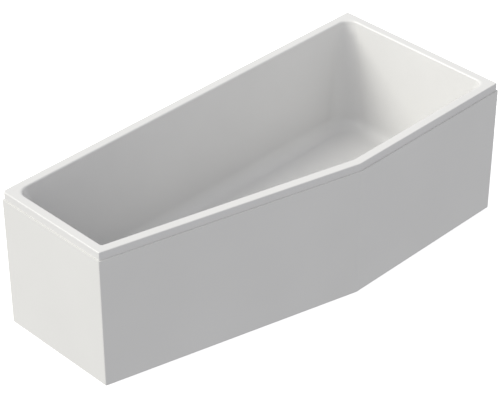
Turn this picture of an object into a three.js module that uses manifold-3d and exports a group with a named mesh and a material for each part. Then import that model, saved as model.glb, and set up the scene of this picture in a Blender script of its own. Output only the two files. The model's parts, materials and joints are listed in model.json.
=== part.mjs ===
// Space-saver bathtub: an acrylic shell with a straight and a slanted front, its panels, battens,
// baseboard, leg rails with screw feet, pop-up waste, overflow and trap.
// Millimetres, +Z up, +X towards the wide end, +Y towards the wall behind the bath. The origin is on
// the floor of the room, under the middle of the bath's plan.
import * as THREE from "three";
import { mergeVertices } from "three/addons/utils/BufferGeometryUtils.js";
import Module from "manifold-3d";

const wasm = await Module();
wasm.setup();

// Driving dimensions
const bath = {
  length: 1600, // rim, end to end
  wideEnd: 692, // rim, from the wall to the straight front
  narrowEnd: 458, // rim, from the wall to the front at the narrow end
  straightFront: 691, // rim, from the wide end to the bend in the front
  height: 519, // from the floor of the room to the top of the rim
};
const rim = {
  width: 32.5, // flat top, from the outer face to the well
  lip: 30, // height of the down-turned edge
  skin: 5, // thickness of the acrylic with its backing
  edgeRadius: 3, // outer top edge
  innerRadius: 6, // top edge of the well
};
const well = {
  floorHeight: 129, // from the floor of the room to the well's floor at the wide end
  draft: 50, // how far the walls lean in from the rim to the floor
  wideDraft: 54, // the same at the wide end, where one leans back
  fillet: 50, // between the walls and the floor
  fall: 6, // fall of the floor from the wide end to the narrow end
  leastRadius: 8, // smallest vertical corner
};
// Radii of the vertical corners: outside of the rim, top of the well and foot of the well
const corner = {
  slantEnd: { rim: 3, top: 12, foot: 62 },
  bend: { rim: 18, top: 70, foot: 220 },
  wideFront: { rim: 4, top: 34, foot: 92 },
  wideBack: { rim: 6, top: 44, foot: 100 },
  narrowBack: { rim: 14, top: 42, foot: 92 },
};
const panel = {
  proud: 4, // how far the panels stand out past the rim
  sheet: 3, // thickness
  fold: 22, // depth of the folds along the top and the bottom
  backSpace: 2, // room left to the wall
  backFold: 20, // fold along the wall
  bendRadius: 20,
  cornerRadius: 2,
};
const batten = { width: 18, height: 18, inset: 7, endSpace: 30 };
const board = { thickness: 18, margin: 10, fromNarrowEnd: 275, cornerRadius: 40 };
const rail = {
  width: 40,
  height: 25,
  sheet: 2.5,
  bendRadius: 4,
  fromNarrowEnd: 370, // rim's narrow end to the first rail
  fromWideEnd: 370, // rim's wide end to the second rail
  overhang: 22, // past the foot at each end
  screwShares: [0.3, 0.7],
};
const foot = {
  rodRadius: 5,
  rodAbove: 44, // the rods on the rails stand this far above them
  inset: 50, // rim's outer face to the rod
  padRadius: 22,
  padNeck: 11,
  padEdge: 5,
  padHeight: 20,
  socketFloor: 6, // plastic under the end of the rod
  nutAcrossFlats: 17,
  nutHeight: 8,
  centrePlate: 90,
  centreSheet: 3,
  bossRadius: 11,
  bossHeight: 22,
  travelUp: 6,
};
const clip = {
  length: 34,
  plate: 3,
  stem: 4,
  tongue: 2.3,
  reach: 16, // tongue, from the stem towards the panel
};
// Places of the clips along each side of the rim
const clipShares = { slant: [0.15, 0.8], front: [0.2, 0.8], wide: [0.5], narrow: [0.5] };
const bracket = { width: 45, sheet: 2, drop: 52, toe: 3, fromEndShare: 0.22 };
const screw = { shank: 2.1, head: 4.6, headHeight: 2.4, bite: 12, wallBite: 11 };
const plumbing = { fromWall: 248, fromNarrowEnd: 200 };
const waste = {
  hole: 26,
  flange: 35,
  flangeEdge: 1.2,
  flangeHeight: 3.2,
  cup: 24.6,
  cupWall: 2,
  cupDepth: 26,
  spoke: 3,
  hub: 6,
  seal: 36,
  sealHeight: 3,
  body: 37,
  bodyHeight: 38,
  bodyWall: 3,
  collar: 4,
  neck: 20,
  neckWall: 3,
  neckHeight: 16,
};
const plug = {
  radius: 31,
  crown: 5,
  edge: 2,
  shoulderShare: 0.7,
  flatShare: 0.3,
  sealHeight: 3,
  stem: 3.2,
  stemLength: 42,
};
const trap = {
  nutRadius: 27,
  nutHeight: 14,
  bowl: 37,
  bowlHeight: 45.5,
  bowlWall: 3,
  bowlRound: 12,
  shoulder: 6,
  outletRadius: 20,
  outletWall: 2.4,
  socket: 24,
  socketLength: 22,
  wallSpace: 12, // end of the outlet to the wall
};
const overflow = {
  drop: 80, // rim to the centre of the overflow
  hole: 27,
  seal: 37,
  sealHeight: 2,
  body: 30,
  bodyFlange: 37,
  bodyFlangeHeight: 3,
  bodyDepth: 28,
  bodyWall: 2.5,
  spigotWall: 2,
  spigotLength: 16,
  plate: 34,
  plateHeight: 4,
  plateHole: 23,
  spokeWidth: 5,
  hub: 9,
  knob: 35,
  knobHeight: 11,
  knobWall: 3,
  knobGap: 6, // plate to the knob, where the water runs in
  gripWidth: 9,
  gripHeight: 9,
  shaft: 4,
  drum: 12,
  drumHeight: 5,
};
const pipe = { radius: 14, wall: 2, bend: 52, socket: 17.5, socketLength: 18 };
const cable = { radius: 2.5, socket: 5, socketLength: 12, straight: 12, side: 22 };

// Clearances and drawing values
const seat = 0.3; // between pieces that rest on each other in a slope, and round a rod or a screw
const touch = 0.15; // half of the joint between two panels
const overrun = 2; // how far a cut runs past its piece
const cornerSteps = 6;
const filletSteps = 7;
const edgeSteps = 3;
const roundSides = 24;
const smallSides = 12;
const hexSides = 6;
const pipeSteps = 20;
const cableSides = 8;
const cableSteps = 34;

// Materials
const acrylic = () => new THREE.MeshStandardMaterial({ color: 0xefeeea, roughness: 0.3, metalness: 0 });
const chipboard = () => new THREE.MeshStandardMaterial({ color: 0xb89a6a, roughness: 0.9, metalness: 0 });
const timber = () => new THREE.MeshStandardMaterial({ color: 0xd0ae78, roughness: 0.8, metalness: 0 });
const zincSteel = () => new THREE.MeshStandardMaterial({ color: 0xb8bcc0, roughness: 0.4, metalness: 1 });
const chrome = () => new THREE.MeshStandardMaterial({ color: 0xdadde0, roughness: 0.1, metalness: 1 });
const plastic = () => new THREE.MeshStandardMaterial({ color: 0xe6e6e2, roughness: 0.5, metalness: 0 });
const darkPlastic = () => new THREE.MeshStandardMaterial({ color: 0x2b2c2e, roughness: 0.6, metalness: 0 });
const rubber = () => new THREE.MeshStandardMaterial({ color: 0x26272a, roughness: 0.9, metalness: 0 });

const root = new THREE.Group();

// Solids: a geometry becomes a closed solid, is joined or cut, and becomes a geometry again
function solid(geometry) {
  const bare = geometry.clone();
  bare.deleteAttribute("normal");
  bare.deleteAttribute("uv");
  const merged = mergeVertices(bare);
  const index = merged.index.array;
  const build = (turned) => {
    const corners = [];
    for (let i = 0; i < index.length; i += 3) {
      const [a, b, c] = [index[i], index[i + 1], index[i + 2]];
      if (a !== b && b !== c && c !== a) corners.push(a, turned ? c : b, turned ? b : c);
    }
    return new wasm.Manifold(
      new wasm.Mesh({
        numProp: 3,
        vertProperties: merged.attributes.position.array,
        triVerts: new Uint32Array(corners),
      }),
    );
  };
  const made = build(false);
  return made.volume() < 0 ? build(true) : made;
}

function geometryOf(made) {
  const { numProp, vertProperties, triVerts } = made.getMesh();
  const positions = new Float32Array((vertProperties.length / numProp) * 3);
  for (let i = 0; i * numProp < vertProperties.length; i++) {
    positions.set(vertProperties.subarray(i * numProp, i * numProp + 3), i * 3);
  }
  const shared = new THREE.BufferGeometry();
  shared.setAttribute("position", new THREE.BufferAttribute(positions, 3));
  shared.setIndex(new THREE.BufferAttribute(new Uint32Array(triVerts), 1));
  const flat = shared.toNonIndexed();
  flat.computeVertexNormals();
  return flat;
}

function join(...made) {
  return made.reduce((all, next) => all.add(next));
}

function cut(made, ...tools) {
  return tools.reduce((left, tool) => left.subtract(tool), made);
}

function place(name, made, material, group = root) {
  const mesh = new THREE.Mesh(geometryOf(made), material);
  mesh.name = name;
  group.add(mesh);
  return mesh;
}

// Basic shapes
function block(x0, x1, y0, y1, z0, z1) {
  const box = new THREE.BoxGeometry(x1 - x0, y1 - y0, z1 - z0);
  box.translate((x0 + x1) / 2, (y0 + y1) / 2, (z0 + z1) / 2);
  return solid(box);
}

function prism(points, z0, z1) {
  const options = { depth: z1 - z0, bevelEnabled: false };
  const slab = new THREE.ExtrudeGeometry(new THREE.Shape(points), options);
  slab.translate(0, 0, z0);
  return solid(slab);
}

// A closed profile of [radius, height] points turned round the Z axis
function turned(profile, sides = roundSides) {
  const points = profile.map(([radius, height]) => new THREE.Vector2(radius, height));
  if (profile[0][0] > 0) points.push(points[0].clone());
  const lathe = new THREE.LatheGeometry(points, sides);
  lathe.rotateX(Math.PI / 2);
  return solid(lathe);
}

function bar(radius, z0, z1, x = 0, y = 0, sides = roundSides) {
  return turned([[0, z0], [radius, z0], [radius, z1], [0, z1]], sides).translate([x, y, 0]);
}

function tube(outer, inner, z0, z1, sides = roundSides) {
  return turned([[inner, z0], [outer, z0], [outer, z1], [inner, z1]], sides);
}

// A solid made along Z laid along X or Y
const alongX = (made) => made.rotate([0, 90, 0]);
const alongY = (made) => made.rotate([-90, 0, 0]);

const mix = (from, to, share) => from + (to - from) * share;

// Plan outlines: lines are moved to the left of their travel, which is inwards on an outline that
// runs anticlockwise
function shiftedLine(from, to, distance) {
  const along = to.clone().sub(from).normalize();
  const left = new THREE.Vector2(-along.y, along.x);
  return { point: from.clone().addScaledVector(left, distance), along };
}

function meeting(a, b) {
  const between = b.point.clone().sub(a.point);
  return a.point.clone().addScaledVector(a.along, between.cross(b.along) / a.along.cross(b.along));
}

function roundedCorner(before, at, after, radius, steps) {
  if (radius <= 0) return [at.clone()];
  const toBefore = before.clone().sub(at).normalize();
  const toAfter = after.clone().sub(at).normalize();
  const half = Math.acos(toBefore.dot(toAfter)) / 2;
  const middle = toBefore.clone().add(toAfter).normalize();
  const centre = at.clone().addScaledVector(middle, radius / Math.sin(half));
  const start = at.clone().addScaledVector(toBefore, radius / Math.tan(half)).sub(centre);
  const turn = Math.sign(toAfter.cross(toBefore)) * (Math.PI - 2 * half);
  const points = [];
  for (let i = 0; i <= steps; i++) {
    const angle = start.angle() + (turn * i) / steps;
    const spoke = new THREE.Vector2(Math.cos(angle), Math.sin(angle));
    points.push(centre.clone().addScaledVector(spoke, radius));
  }
  return points;
}

function roundedOutline(corners, radii, steps) {
  const count = corners.length;
  return corners.flatMap((at, i) =>
    roundedCorner(corners[(i + count - 1) % count], at, corners[(i + 1) % count], radii[i], steps),
  );
}

// The rim's outline, anticlockwise from the narrow end of the slanted front
const halfLength = bath.length / 2;
const backY = (bath.wideEnd + panel.proud) / 2;
const frontY = backY - bath.wideEnd;
const rimCorners = [
  new THREE.Vector2(-halfLength, backY - bath.narrowEnd),
  new THREE.Vector2(halfLength - bath.straightFront, frontY),
  new THREE.Vector2(halfLength, frontY),
  new THREE.Vector2(halfLength, backY),
  new THREE.Vector2(-halfLength, backY),
];
const cornerNames = ["slantEnd", "bend", "wideFront", "wideBack", "narrowBack"];
const sideNames = ["slant", "front", "wide", "back", "narrow"];
const side = Object.fromEntries(sideNames.map((name, i) => [name, i]));
const sides = Object.values(side);

function nextCorner(i) {
  return rimCorners[(i + 1) % rimCorners.length];
}

function insetCorners(insets) {
  const lines = rimCorners.map((from, i) => shiftedLine(from, nextCorner(i), insets[i]));
  return lines.map((line, i) => meeting(lines[(i + lines.length - 1) % lines.length], line));
}

// A point in plan at a share of one side's length, moved in from the rim's outer face
function sidePoint(which, share, inset, offset = 0) {
  const from = rimCorners[which];
  const line = shiftedLine(from, nextCorner(which), inset);
  const length = from.distanceTo(nextCorner(which));
  return line.point.clone().addScaledVector(line.along, length * share + offset);
}

// Where the front's outer face, moved in by an inset, crosses a place along the bath
function frontAt(x, inset) {
  const which = x < rimCorners[side.front].x ? side.slant : side.front;
  const line = shiftedLine(rimCorners[which], nextCorner(which), inset);
  return line.point.y + ((x - line.point.x) * line.along.y) / line.along.x;
}

// Heights
const rimTop = bath.height;
const lipBottom = rimTop - rim.lip;
const wellDepth = rimTop - well.floorHeight;

function fallShare(drop) {
  return Math.max(0, (drop - rim.lip) / (wellDepth - rim.lip));
}

function heightAt(x, drop) {
  return rimTop - drop - ((well.fall * (halfLength - x)) / bath.length) * fallShare(drop);
}

// Shell: plan rings that follow one section from the floor of the well up over the rim to the foot
// of the lip, and back underneath
function cornerRadii(inset, drop) {
  const depthShare = Math.min(drop / wellDepth, 1);
  const wallInset = rim.width + well.draft * depthShare;
  return cornerNames.map((name) => {
    const radii = corner[name];
    if (drop <= rim.skin || inset <= rim.skin) {
      return mix(radii.rim, radii.top, Math.min(inset / rim.width, 1));
    }
    return Math.max(mix(radii.top, radii.foot, depthShare) + wallInset - inset, well.leastRadius);
  });
}

function wallInsets(inset, drop) {
  const lean = (well.wideDraft - well.draft) * (drop / wellDepth);
  return sides.map((which) => (which === side.wide ? inset + lean : inset));
}

function shellRing({ x: inset, y: drop }) {
  const outline = roundedOutline(
    insetCorners(wallInsets(inset, drop)),
    cornerRadii(inset, drop),
    cornerSteps,
  );
  return outline.map((p) => new THREE.Vector3(p.x, p.y, heightAt(p.x, drop)));
}

// The section as corner points of [inset, drop]; the last one only guides the fillet
function sectionPoints() {
  const foot = rim.width + well.draft;
  return [
    [0, rim.lip],
    [0, 0],
    [rim.width, 0],
    [foot, wellDepth],
    [foot + 2 * well.fillet, wellDepth],
  ].map(([inset, drop]) => new THREE.Vector2(inset, drop));
}

function section(points, edge, inner, fillet) {
  const [lip, outer, top, foot, guide] = points;
  return [
    lip,
    ...roundedCorner(lip, outer, top, edge, edgeSteps),
    ...roundedCorner(outer, top, foot, inner, edgeSteps),
    ...roundedCorner(top, foot, guide, fillet, filletSteps),
  ];
}

function undersidePoints(points) {
  const lines = points.slice(1).map((to, i) => shiftedLine(points[i], to, rim.skin));
  const first = new THREE.Vector2(rim.skin, rim.lip);
  const bends = lines.slice(1).map((line, i) => meeting(lines[i], line));
  const last = points.at(-1).clone();
  last.y += rim.skin;
  return [first, ...bends, last];
}

function loft(rings) {
  const count = rings[0].length;
  const positions = rings.flat().flatMap((p) => p.toArray());
  const index = [];
  for (let k = 0; k + 1 < rings.length; k++) {
    for (let i = 0; i < count; i++) {
      const j = (i + 1) % count;
      const [a, b, c, d] = [k * count + i, k * count + j, (k + 1) * count + j, (k + 1) * count + i];
      index.push(a, d, c, a, c, b);
    }
  }
  const cap = (ring, start, up) => {
    const centre = ring.reduce((sum, p) => sum.add(p), new THREE.Vector3()).divideScalar(count);
    const middle = positions.length / 3;
    positions.push(...centre.toArray());
    for (let i = 0; i < count; i++) {
      const j = (i + 1) % count;
      index.push(middle, start + (up ? i : j), start + (up ? j : i));
    }
  };
  cap(rings[0], 0, true);
  cap(rings.at(-1), (rings.length - 1) * count, false);
  const skin = new THREE.BufferGeometry();
  skin.setAttribute("position", new THREE.Float32BufferAttribute(positions, 3));
  skin.setIndex(index);
  return solid(skin);
}

const wastePlace = new THREE.Vector2(-halfLength + plumbing.fromNarrowEnd, backY - plumbing.fromWall);
const floorTop = heightAt(wastePlace.x, wellDepth);
const floorUnder = (x) => heightAt(x, wellDepth + rim.skin);

// The narrow end wall's inner face in section, and the frame that the overflow is set in: its X runs
// out of the wall into the well
function narrowWall(drop) {
  const inset = rim.width + (well.draft * drop) / wellDepth;
  const x = -halfLength + inset;
  return new THREE.Vector3(x, wastePlace.y, heightAt(-halfLength, drop));
}
const wallTop = narrowWall(rim.lip);
const wallFoot = narrowWall(wellDepth);
const wallLean = Math.atan2(wallFoot.x - wallTop.x, wallTop.z - wallFoot.z);
const overflowFrame = new THREE.Group();
overflowFrame.position.copy(narrowWall(overflow.drop));
overflowFrame.rotation.y = -wallLean;
overflowFrame.updateMatrix();
root.add(overflowFrame);

// A point of the overflow's frame in the bath's frame
function fromOverflow(x, y, z) {
  return new THREE.Vector3(x, y, z).applyMatrix4(overflowFrame.matrix);
}

function buildShell() {
  const points = sectionPoints();
  const inside = section(points, rim.edgeRadius, rim.innerRadius, well.fillet);
  const underEdge = Math.max(rim.edgeRadius - rim.skin, 0);
  const underInner = Math.max(rim.innerRadius - rim.skin, 0);
  const underside = section(undersidePoints(points), underEdge, underInner, well.fillet + rim.skin);
  const rings = [...inside.reverse(), ...underside].map(shellRing);
  const wasteHole = bar(waste.hole, 0, rimTop, wastePlace.x, wastePlace.y);
  const overflowHole = alongX(bar(overflow.hole, -rim.lip, rim.lip))
    .rotate([0, THREE.MathUtils.radToDeg(-wallLean), 0])
    .translate(overflowFrame.position.toArray());
  place("bath_shell", cut(loft(rings), wasteHole, overflowHole), acrylic());
}

// Battens bonded under the rim, one along each side. Their ends stop short of the corners.
const battenTop = rimTop - rim.skin;
const battenBottom = battenTop - batten.height;
const bracketShares = [bracket.fromEndShare, 1 - bracket.fromEndShare];
const bracketInset = batten.inset + (bracket.toe + batten.width) / 2;
const bracketPlaces = bracketShares.map((share) => sidePoint(side.back, share, bracketInset));

function sideStrip(which, from, to, outer, inner, z0, z1) {
  const strip = [
    sidePoint(which, 0, outer, from),
    sidePoint(which, 1, outer, to),
    sidePoint(which, 1, inner, to),
    sidePoint(which, 0, inner, from),
  ];
  return prism(strip, z0, z1);
}

function buildBattens() {
  const inner = batten.inset + batten.width;
  for (const [name, which] of Object.entries(side)) {
    const start = batten.endSpace;
    const strip = sideStrip(which, start, -start, batten.inset, inner, battenBottom, battenTop);
    const pilots = which === side.back
      ? bracketPlaces.map((p) => bar(screw.shank + seat, battenBottom - overrun,
        battenBottom + screw.wallBite + seat, p.x, p.y, smallSides))
      : [];
    place(`rim_batten_${name}`, cut(strip, ...pilots), timber());
  }
}

// Panels: one folded sheet all round, parted at the corners. The front sheet covers the ends of the
// two end sheets, and the folds meet in mitres.
const panelTop = lipBottom - seat;

function panelOutline(depth) {
  const outer = sides.map((which) => (which === side.back ? panel.backSpace : -panel.proud));
  const radii = cornerNames.map((name) => (name === "bend" ? panel.bendRadius : panel.cornerRadius));
  const shrunk = radii.map((radius) => Math.max(radius - depth, panel.cornerRadius / 2));
  return roundedOutline(insetCorners(outer.map((inset) => inset + depth)), shrunk, edgeSteps);
}

function panelLoop() {
  const sheet = prism(panelOutline(0), 0, panelTop);
  const inside = prism(panelOutline(panel.sheet), panel.sheet, panelTop - panel.sheet);
  const mouth = prism(panelOutline(panel.fold), -overrun, panelTop + overrun);
  return cut(sheet, inside, mouth);
}

// The joint between the front panel and an end panel in plan: through the end sheet, then a mitre
function jointLine(at, shift) {
  const level = (depth) => {
    const insets = sides.map(() => depth - panel.proud);
    insets[side.back] = panel.backSpace + depth;
    return insetCorners(insets)[at];
  };
  const frontSide = at === side.slant ? side.slant : side.front;
  const inset = panel.sheet - panel.proud + shift;
  const line = shiftedLine(rimCorners[frontSide], nextCorner(frontSide), inset);
  const outward = at === side.slant ? -1 : 1;
  const reach = panel.fold + panel.proud + overrun;
  const sheetCorner = level(panel.sheet);
  const foldCorner = level(panel.fold + overrun);
  const mitre = foldCorner.clone().sub(sheetCorner).normalize();
  const across = new THREE.Vector2(mitre.y, -mitre.x).multiplyScalar(shift * outward);
  const mitreLine = { point: sheetCorner.clone().add(across), along: mitre };
  const start = line.point.clone();
  start.x = rimCorners[at].x + outward * reach;
  start.y = line.point.y + ((start.x - line.point.x) * line.along.y) / line.along.x;
  return [start, meeting(line, mitreLine), foldCorner.clone().add(across)];
}

function buildPanels() {
  const loop = panelLoop();
  const far = bath.wideEnd;
  const below = frontY - far;
  const outside = halfLength + far;
  const left = jointLine(side.slant, -touch);
  const right = jointLine(side.wide, -touch).reverse();
  const frontRegion = [
    new THREE.Vector2(-outside, left[0].y),
    ...left,
    ...right,
    new THREE.Vector2(outside, right.at(-1).y),
    new THREE.Vector2(outside, below),
    new THREE.Vector2(-outside, below),
  ];
  const keep = (region) => loop.intersect(prism(region, -overrun, panelTop + overrun));
  place("front_panel", keep(frontRegion), acrylic());

  const foldEnd = halfLength + panel.proud - panel.backFold;
  const endRegion = (at, outward) => {
    const line = jointLine(at, touch);
    return [
      ...line,
      new THREE.Vector2(outward * foldEnd, line.at(-1).y),
      new THREE.Vector2(outward * foldEnd, backY),
      new THREE.Vector2(outward * outside, backY),
      new THREE.Vector2(outward * outside, line[0].y),
    ];
  };
  place("end_panel_narrow", keep(endRegion(side.slant, -1)), acrylic());
  place("end_panel_wide", keep(endRegion(side.wide, 1)), acrylic());
}

// Clips under the battens: each holds a panel's top fold on its tongue
const foldUnder = panelTop - panel.sheet;

function buildClips() {
  const stemInset = panel.fold - panel.proud + overrun;
  const places = Object.entries(clipShares).flatMap(([name, shares]) =>
    shares.map((share) => [side[name], share]));
  places.forEach(([which, share], i) => {
    const length = rimCorners[which].distanceTo(nextCorner(which));
    const from = length * share - clip.length / 2;
    const to = from + clip.length - length;
    const slab = (outer, inner, z0, z1) => sideStrip(which, from, to, outer, inner, z0, z1);
    const tongueTop = foldUnder - seat;
    const tongueBottom = tongueTop - clip.tongue;
    const inner = stemInset + clip.stem;
    const plate = slab(batten.inset, inner, battenBottom - clip.plate, battenBottom);
    const stem = slab(stemInset, inner, tongueBottom, battenBottom);
    const tongue = slab(inner - clip.reach, inner, tongueBottom, tongueTop);
    place(`panel_clip_${i + 1}`, join(plate, stem, tongue), plastic());
  });
}

// Brackets from the back batten to the wall
function buildWallBrackets() {
  const half = bracket.width / 2;
  const underLip = lipBottom - seat;
  bracketPlaces.forEach((p, i) => {
    const slab = (outer, inner, z0, z1) =>
      block(p.x - half, p.x + half, backY - inner, backY - outer, z0, z1);
    const toe = batten.inset + bracket.toe;
    const plateInner = batten.inset + batten.width;
    const wallLeg = slab(0, bracket.sheet, underLip - bracket.drop, underLip);
    const shelf = slab(0, toe, underLip - bracket.sheet, underLip);
    const riser = slab(toe - bracket.sheet, toe, underLip - bracket.sheet, battenBottom);
    const plate = slab(toe - bracket.sheet, plateInner, battenBottom - bracket.sheet, battenBottom);
    const hole = bar(screw.shank + seat, underLip - bracket.drop, battenTop, p.x, p.y, smallSides);
    place(`wall_bracket_${i + 1}`, cut(join(wallLeg, shelf, riser, plate), hole), zincSteel());
    const under = battenBottom - bracket.sheet - seat;
    const made = fixing(under, battenBottom + screw.wallBite).translate([p.x, p.y, 0]);
    place(`bracket_screw_${i + 1}`, made, zincSteel());
  });
}

// A screw driven upwards: its head's seat is at one height and its point at another
function fixing(under, top) {
  const { shank, head, headHeight } = screw;
  const shoulder = under - headHeight / 2;
  const profile = [
    [0, under - headHeight],
    [head / 2, under - headHeight],
    [head, shoulder],
    [head, under],
    [shank, under],
    [shank, top - shank],
    [0, top],
  ];
  return turned(profile, smallSides);
}

// Baseboard: follows the fall of the floor and leaves the waste free
function boardOutline(trim) {
  const inset = rim.width + well.draft + well.fillet - board.margin + trim;
  const insets = sides.map(() => inset);
  insets[side.narrow] = board.fromNarrowEnd + trim;
  const radii = sides.map(() => board.cornerRadius);
  return roundedOutline(insetCorners(insets), radii, edgeSteps);
}
const boardUnder = (x) => floorUnder(x) - seat - board.thickness;

const railPlaces = [
  { name: "narrow", x: -halfLength + rail.fromNarrowEnd },
  { name: "wide", x: halfLength - rail.fromWideEnd },
].map(({ name, x }) => {
  const front = frontAt(x, foot.inset);
  const back = backY - foot.inset;
  const top = Math.min(boardUnder(x - rail.width / 2), boardUnder(x + rail.width / 2)) - seat;
  const screws = rail.screwShares.map((share) => mix(front, back, share));
  return { name, x, front, back, top, screws };
});
const screwPlaces = railPlaces.flatMap(({ x, top, screws }) => screws.map((y) => ({ x, y, top })));

function buildBoard() {
  const options = { depth: board.thickness, bevelEnabled: false };
  const slab = new THREE.ExtrudeGeometry(new THREE.Shape(boardOutline(0)), options);
  const spots = slab.attributes.position;
  for (let i = 0; i < spots.count; i++) {
    spots.setZ(i, spots.getZ(i) + boardUnder(spots.getX(i)));
  }
  const pilots = screwPlaces.map(({ x, y, top }) =>
    bar(screw.shank + seat, top - overrun, top + screw.bite + seat, x, y, smallSides));
  place("baseboard", cut(solid(slab), ...pilots), chipboard());
}

// Leg rails: channels with rounded folds, open downwards, with holes for the rods and the screws
function buildRails() {
  const { width, height, sheet, bendRadius } = rail;
  const half = width / 2;
  const outer = [[-half, -height], [-half, 0], [half, 0], [half, -height]];
  const room = half - sheet;
  const inner = [[room, -height], [room, -sheet], [-room, -sheet], [-room, -height]];
  const points = [...outer, ...inner].map(([x, z]) => new THREE.Vector2(x, z));
  const inside = bendRadius - sheet;
  const radii = [0, bendRadius, bendRadius, 0, 0, inside, inside, 0];
  const profile = roundedOutline(points, radii, edgeSteps);
  for (const { name, x, front, back, top, screws } of railPlaces) {
    const start = front - rail.overhang;
    const end = back + rail.overhang;
    // The profile stands in X and Z once it is laid along Y
    const channel = alongY(prism(profile.map((p) => new THREE.Vector2(p.x, -p.y)), start, end));
    const hole = (radius, y) => bar(radius, -height, height, 0, y, smallSides);
    const rods = [front, back].map((y) => hole(foot.rodRadius + seat, y));
    const pilots = screws.map((y) => hole(screw.shank + seat, y));
    place(`leg_rail_${name}`, cut(channel, ...rods, ...pilots).translate([x, 0, top]), zincSteel());
  }
  screwPlaces.forEach(({ x, y, top }, i) => {
    const under = top - rail.sheet - seat;
    place(`rail_screw_${i + 1}`, fixing(under, top + screw.bite).translate([x, y, 0]), zincSteel());
  });
}

// Feet: a plastic pad, a threaded rod in its socket and a nut under what the rod stands in
const centre = {
  x: (railPlaces[0].x + railPlaces[1].x) / 2,
  y: (frontAt((railPlaces[0].x + railPlaces[1].x) / 2, 0) + backY) / 2,
};
const centreTop = Math.min(
  boardUnder(centre.x - foot.centrePlate / 2),
  boardUnder(centre.x + foot.centrePlate / 2),
) - seat;
const bossBottom = centreTop - foot.centreSheet - foot.bossHeight;

function buildFeet() {
  const onRails = railPlaces.flatMap(({ x, front, back, top }) =>
    [front, back].map((y) => ({ x, y, nutTop: top - rail.sheet - seat, rodTop: top + foot.rodAbove })));
  const rodRoom = centreTop - foot.centreSheet - foot.travelUp - overrun;
  const spots = [...onRails, { x: centre.x, y: centre.y, nutTop: bossBottom - seat, rodTop: rodRoom }];
  const socket = foot.rodRadius + seat;
  const rodBottom = foot.socketFloor + seat;
  const hex = foot.nutAcrossFlats / 2 / Math.cos(Math.PI / hexSides);
  spots.forEach(({ x, y, nutTop, rodTop }, i) => {
    const pad = turned([
      [0, 0],
      [foot.padRadius, 0],
      [foot.padRadius, foot.padEdge],
      [foot.padNeck, foot.padHeight - foot.padEdge],
      [foot.padNeck, foot.padHeight],
      [socket, foot.padHeight],
      [socket, foot.socketFloor],
      [0, foot.socketFloor],
    ]);
    const rod = turned([
      [0, rodBottom],
      [foot.rodRadius, rodBottom],
      [foot.rodRadius, rodTop - foot.rodRadius / 2],
      [foot.rodRadius / 2, rodTop],
      [0, rodTop],
    ]);
    const blank = bar(hex, nutTop - foot.nutHeight, nutTop, 0, 0, hexSides);
    const bore = bar(socket, nutTop - foot.nutHeight - overrun, nutTop + overrun);
    place(`foot_pad_${i + 1}`, pad.translate([x, y, 0]), darkPlastic());
    place(`foot_rod_${i + 1}`, rod.translate([x, y, 0]), zincSteel());
    place(`foot_nut_${i + 1}`, cut(blank, bore).translate([x, y, 0]), zincSteel());
  });
}

function buildCentrePlate() {
  const half = foot.centrePlate / 2;
  const plate = block(-half, half, -half, half, centreTop - foot.centreSheet, centreTop);
  const boss = bar(foot.bossRadius, bossBottom, centreTop - foot.centreSheet / 2);
  const bore = bar(foot.rodRadius + seat, bossBottom - overrun, centreTop - foot.centreSheet);
  place("centre_foot_plate", cut(join(plate, boss), bore).translate([centre.x, centre.y, 0]), zincSteel());
}

// Waste: heights from the floor of the well downwards
const flangeSeat = floorTop + seat * 2;
const shellUnder = floorUnder(wastePlace.x - waste.seal) - seat;
const sealUnder = shellUnder - waste.sealHeight;
const bodyTop = sealUnder - seat;
const bodyBottom = bodyTop - waste.bodyHeight;
const neckBottom = bodyBottom - waste.neckHeight;
const hubTop = flangeSeat - waste.cupDepth / 2;
const inletZ = bodyBottom + pipe.radius + waste.bodyWall;

function buildWasteFlange() {
  const ring = turned([
    [waste.cup - waste.cupWall, flangeSeat - waste.cupDepth],
    [waste.cup, flangeSeat - waste.cupDepth],
    [waste.cup, flangeSeat],
    [waste.flange, flangeSeat],
    [waste.flange, flangeSeat + waste.flangeEdge],
    [waste.cup + waste.cupWall, flangeSeat + waste.flangeHeight],
    [waste.cup - waste.cupWall, flangeSeat + waste.flangeHeight - waste.flangeEdge],
  ]);
  const reach = waste.cup - waste.cupWall / 2;
  const half = waste.spoke / 2;
  const bottom = flangeSeat - waste.cupDepth;
  const across = block(-reach, reach, -half, half, bottom, hubTop);
  const along = block(-half, half, -reach, reach, bottom, hubTop);
  const hub = bar(waste.hub, bottom, hubTop);
  const bore = bar(plug.stem + seat, bottom - overrun, hubTop + overrun);
  const made = cut(join(ring, across, along, hub), bore);
  place("waste_flange", made.translate([wastePlace.x, wastePlace.y, 0]), chrome());
}

function buildWasteSeal() {
  const ring = tube(waste.seal, waste.hole, sealUnder, shellUnder);
  place("waste_seal", ring.translate([wastePlace.x, wastePlace.y, 0]), rubber());
}

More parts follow.
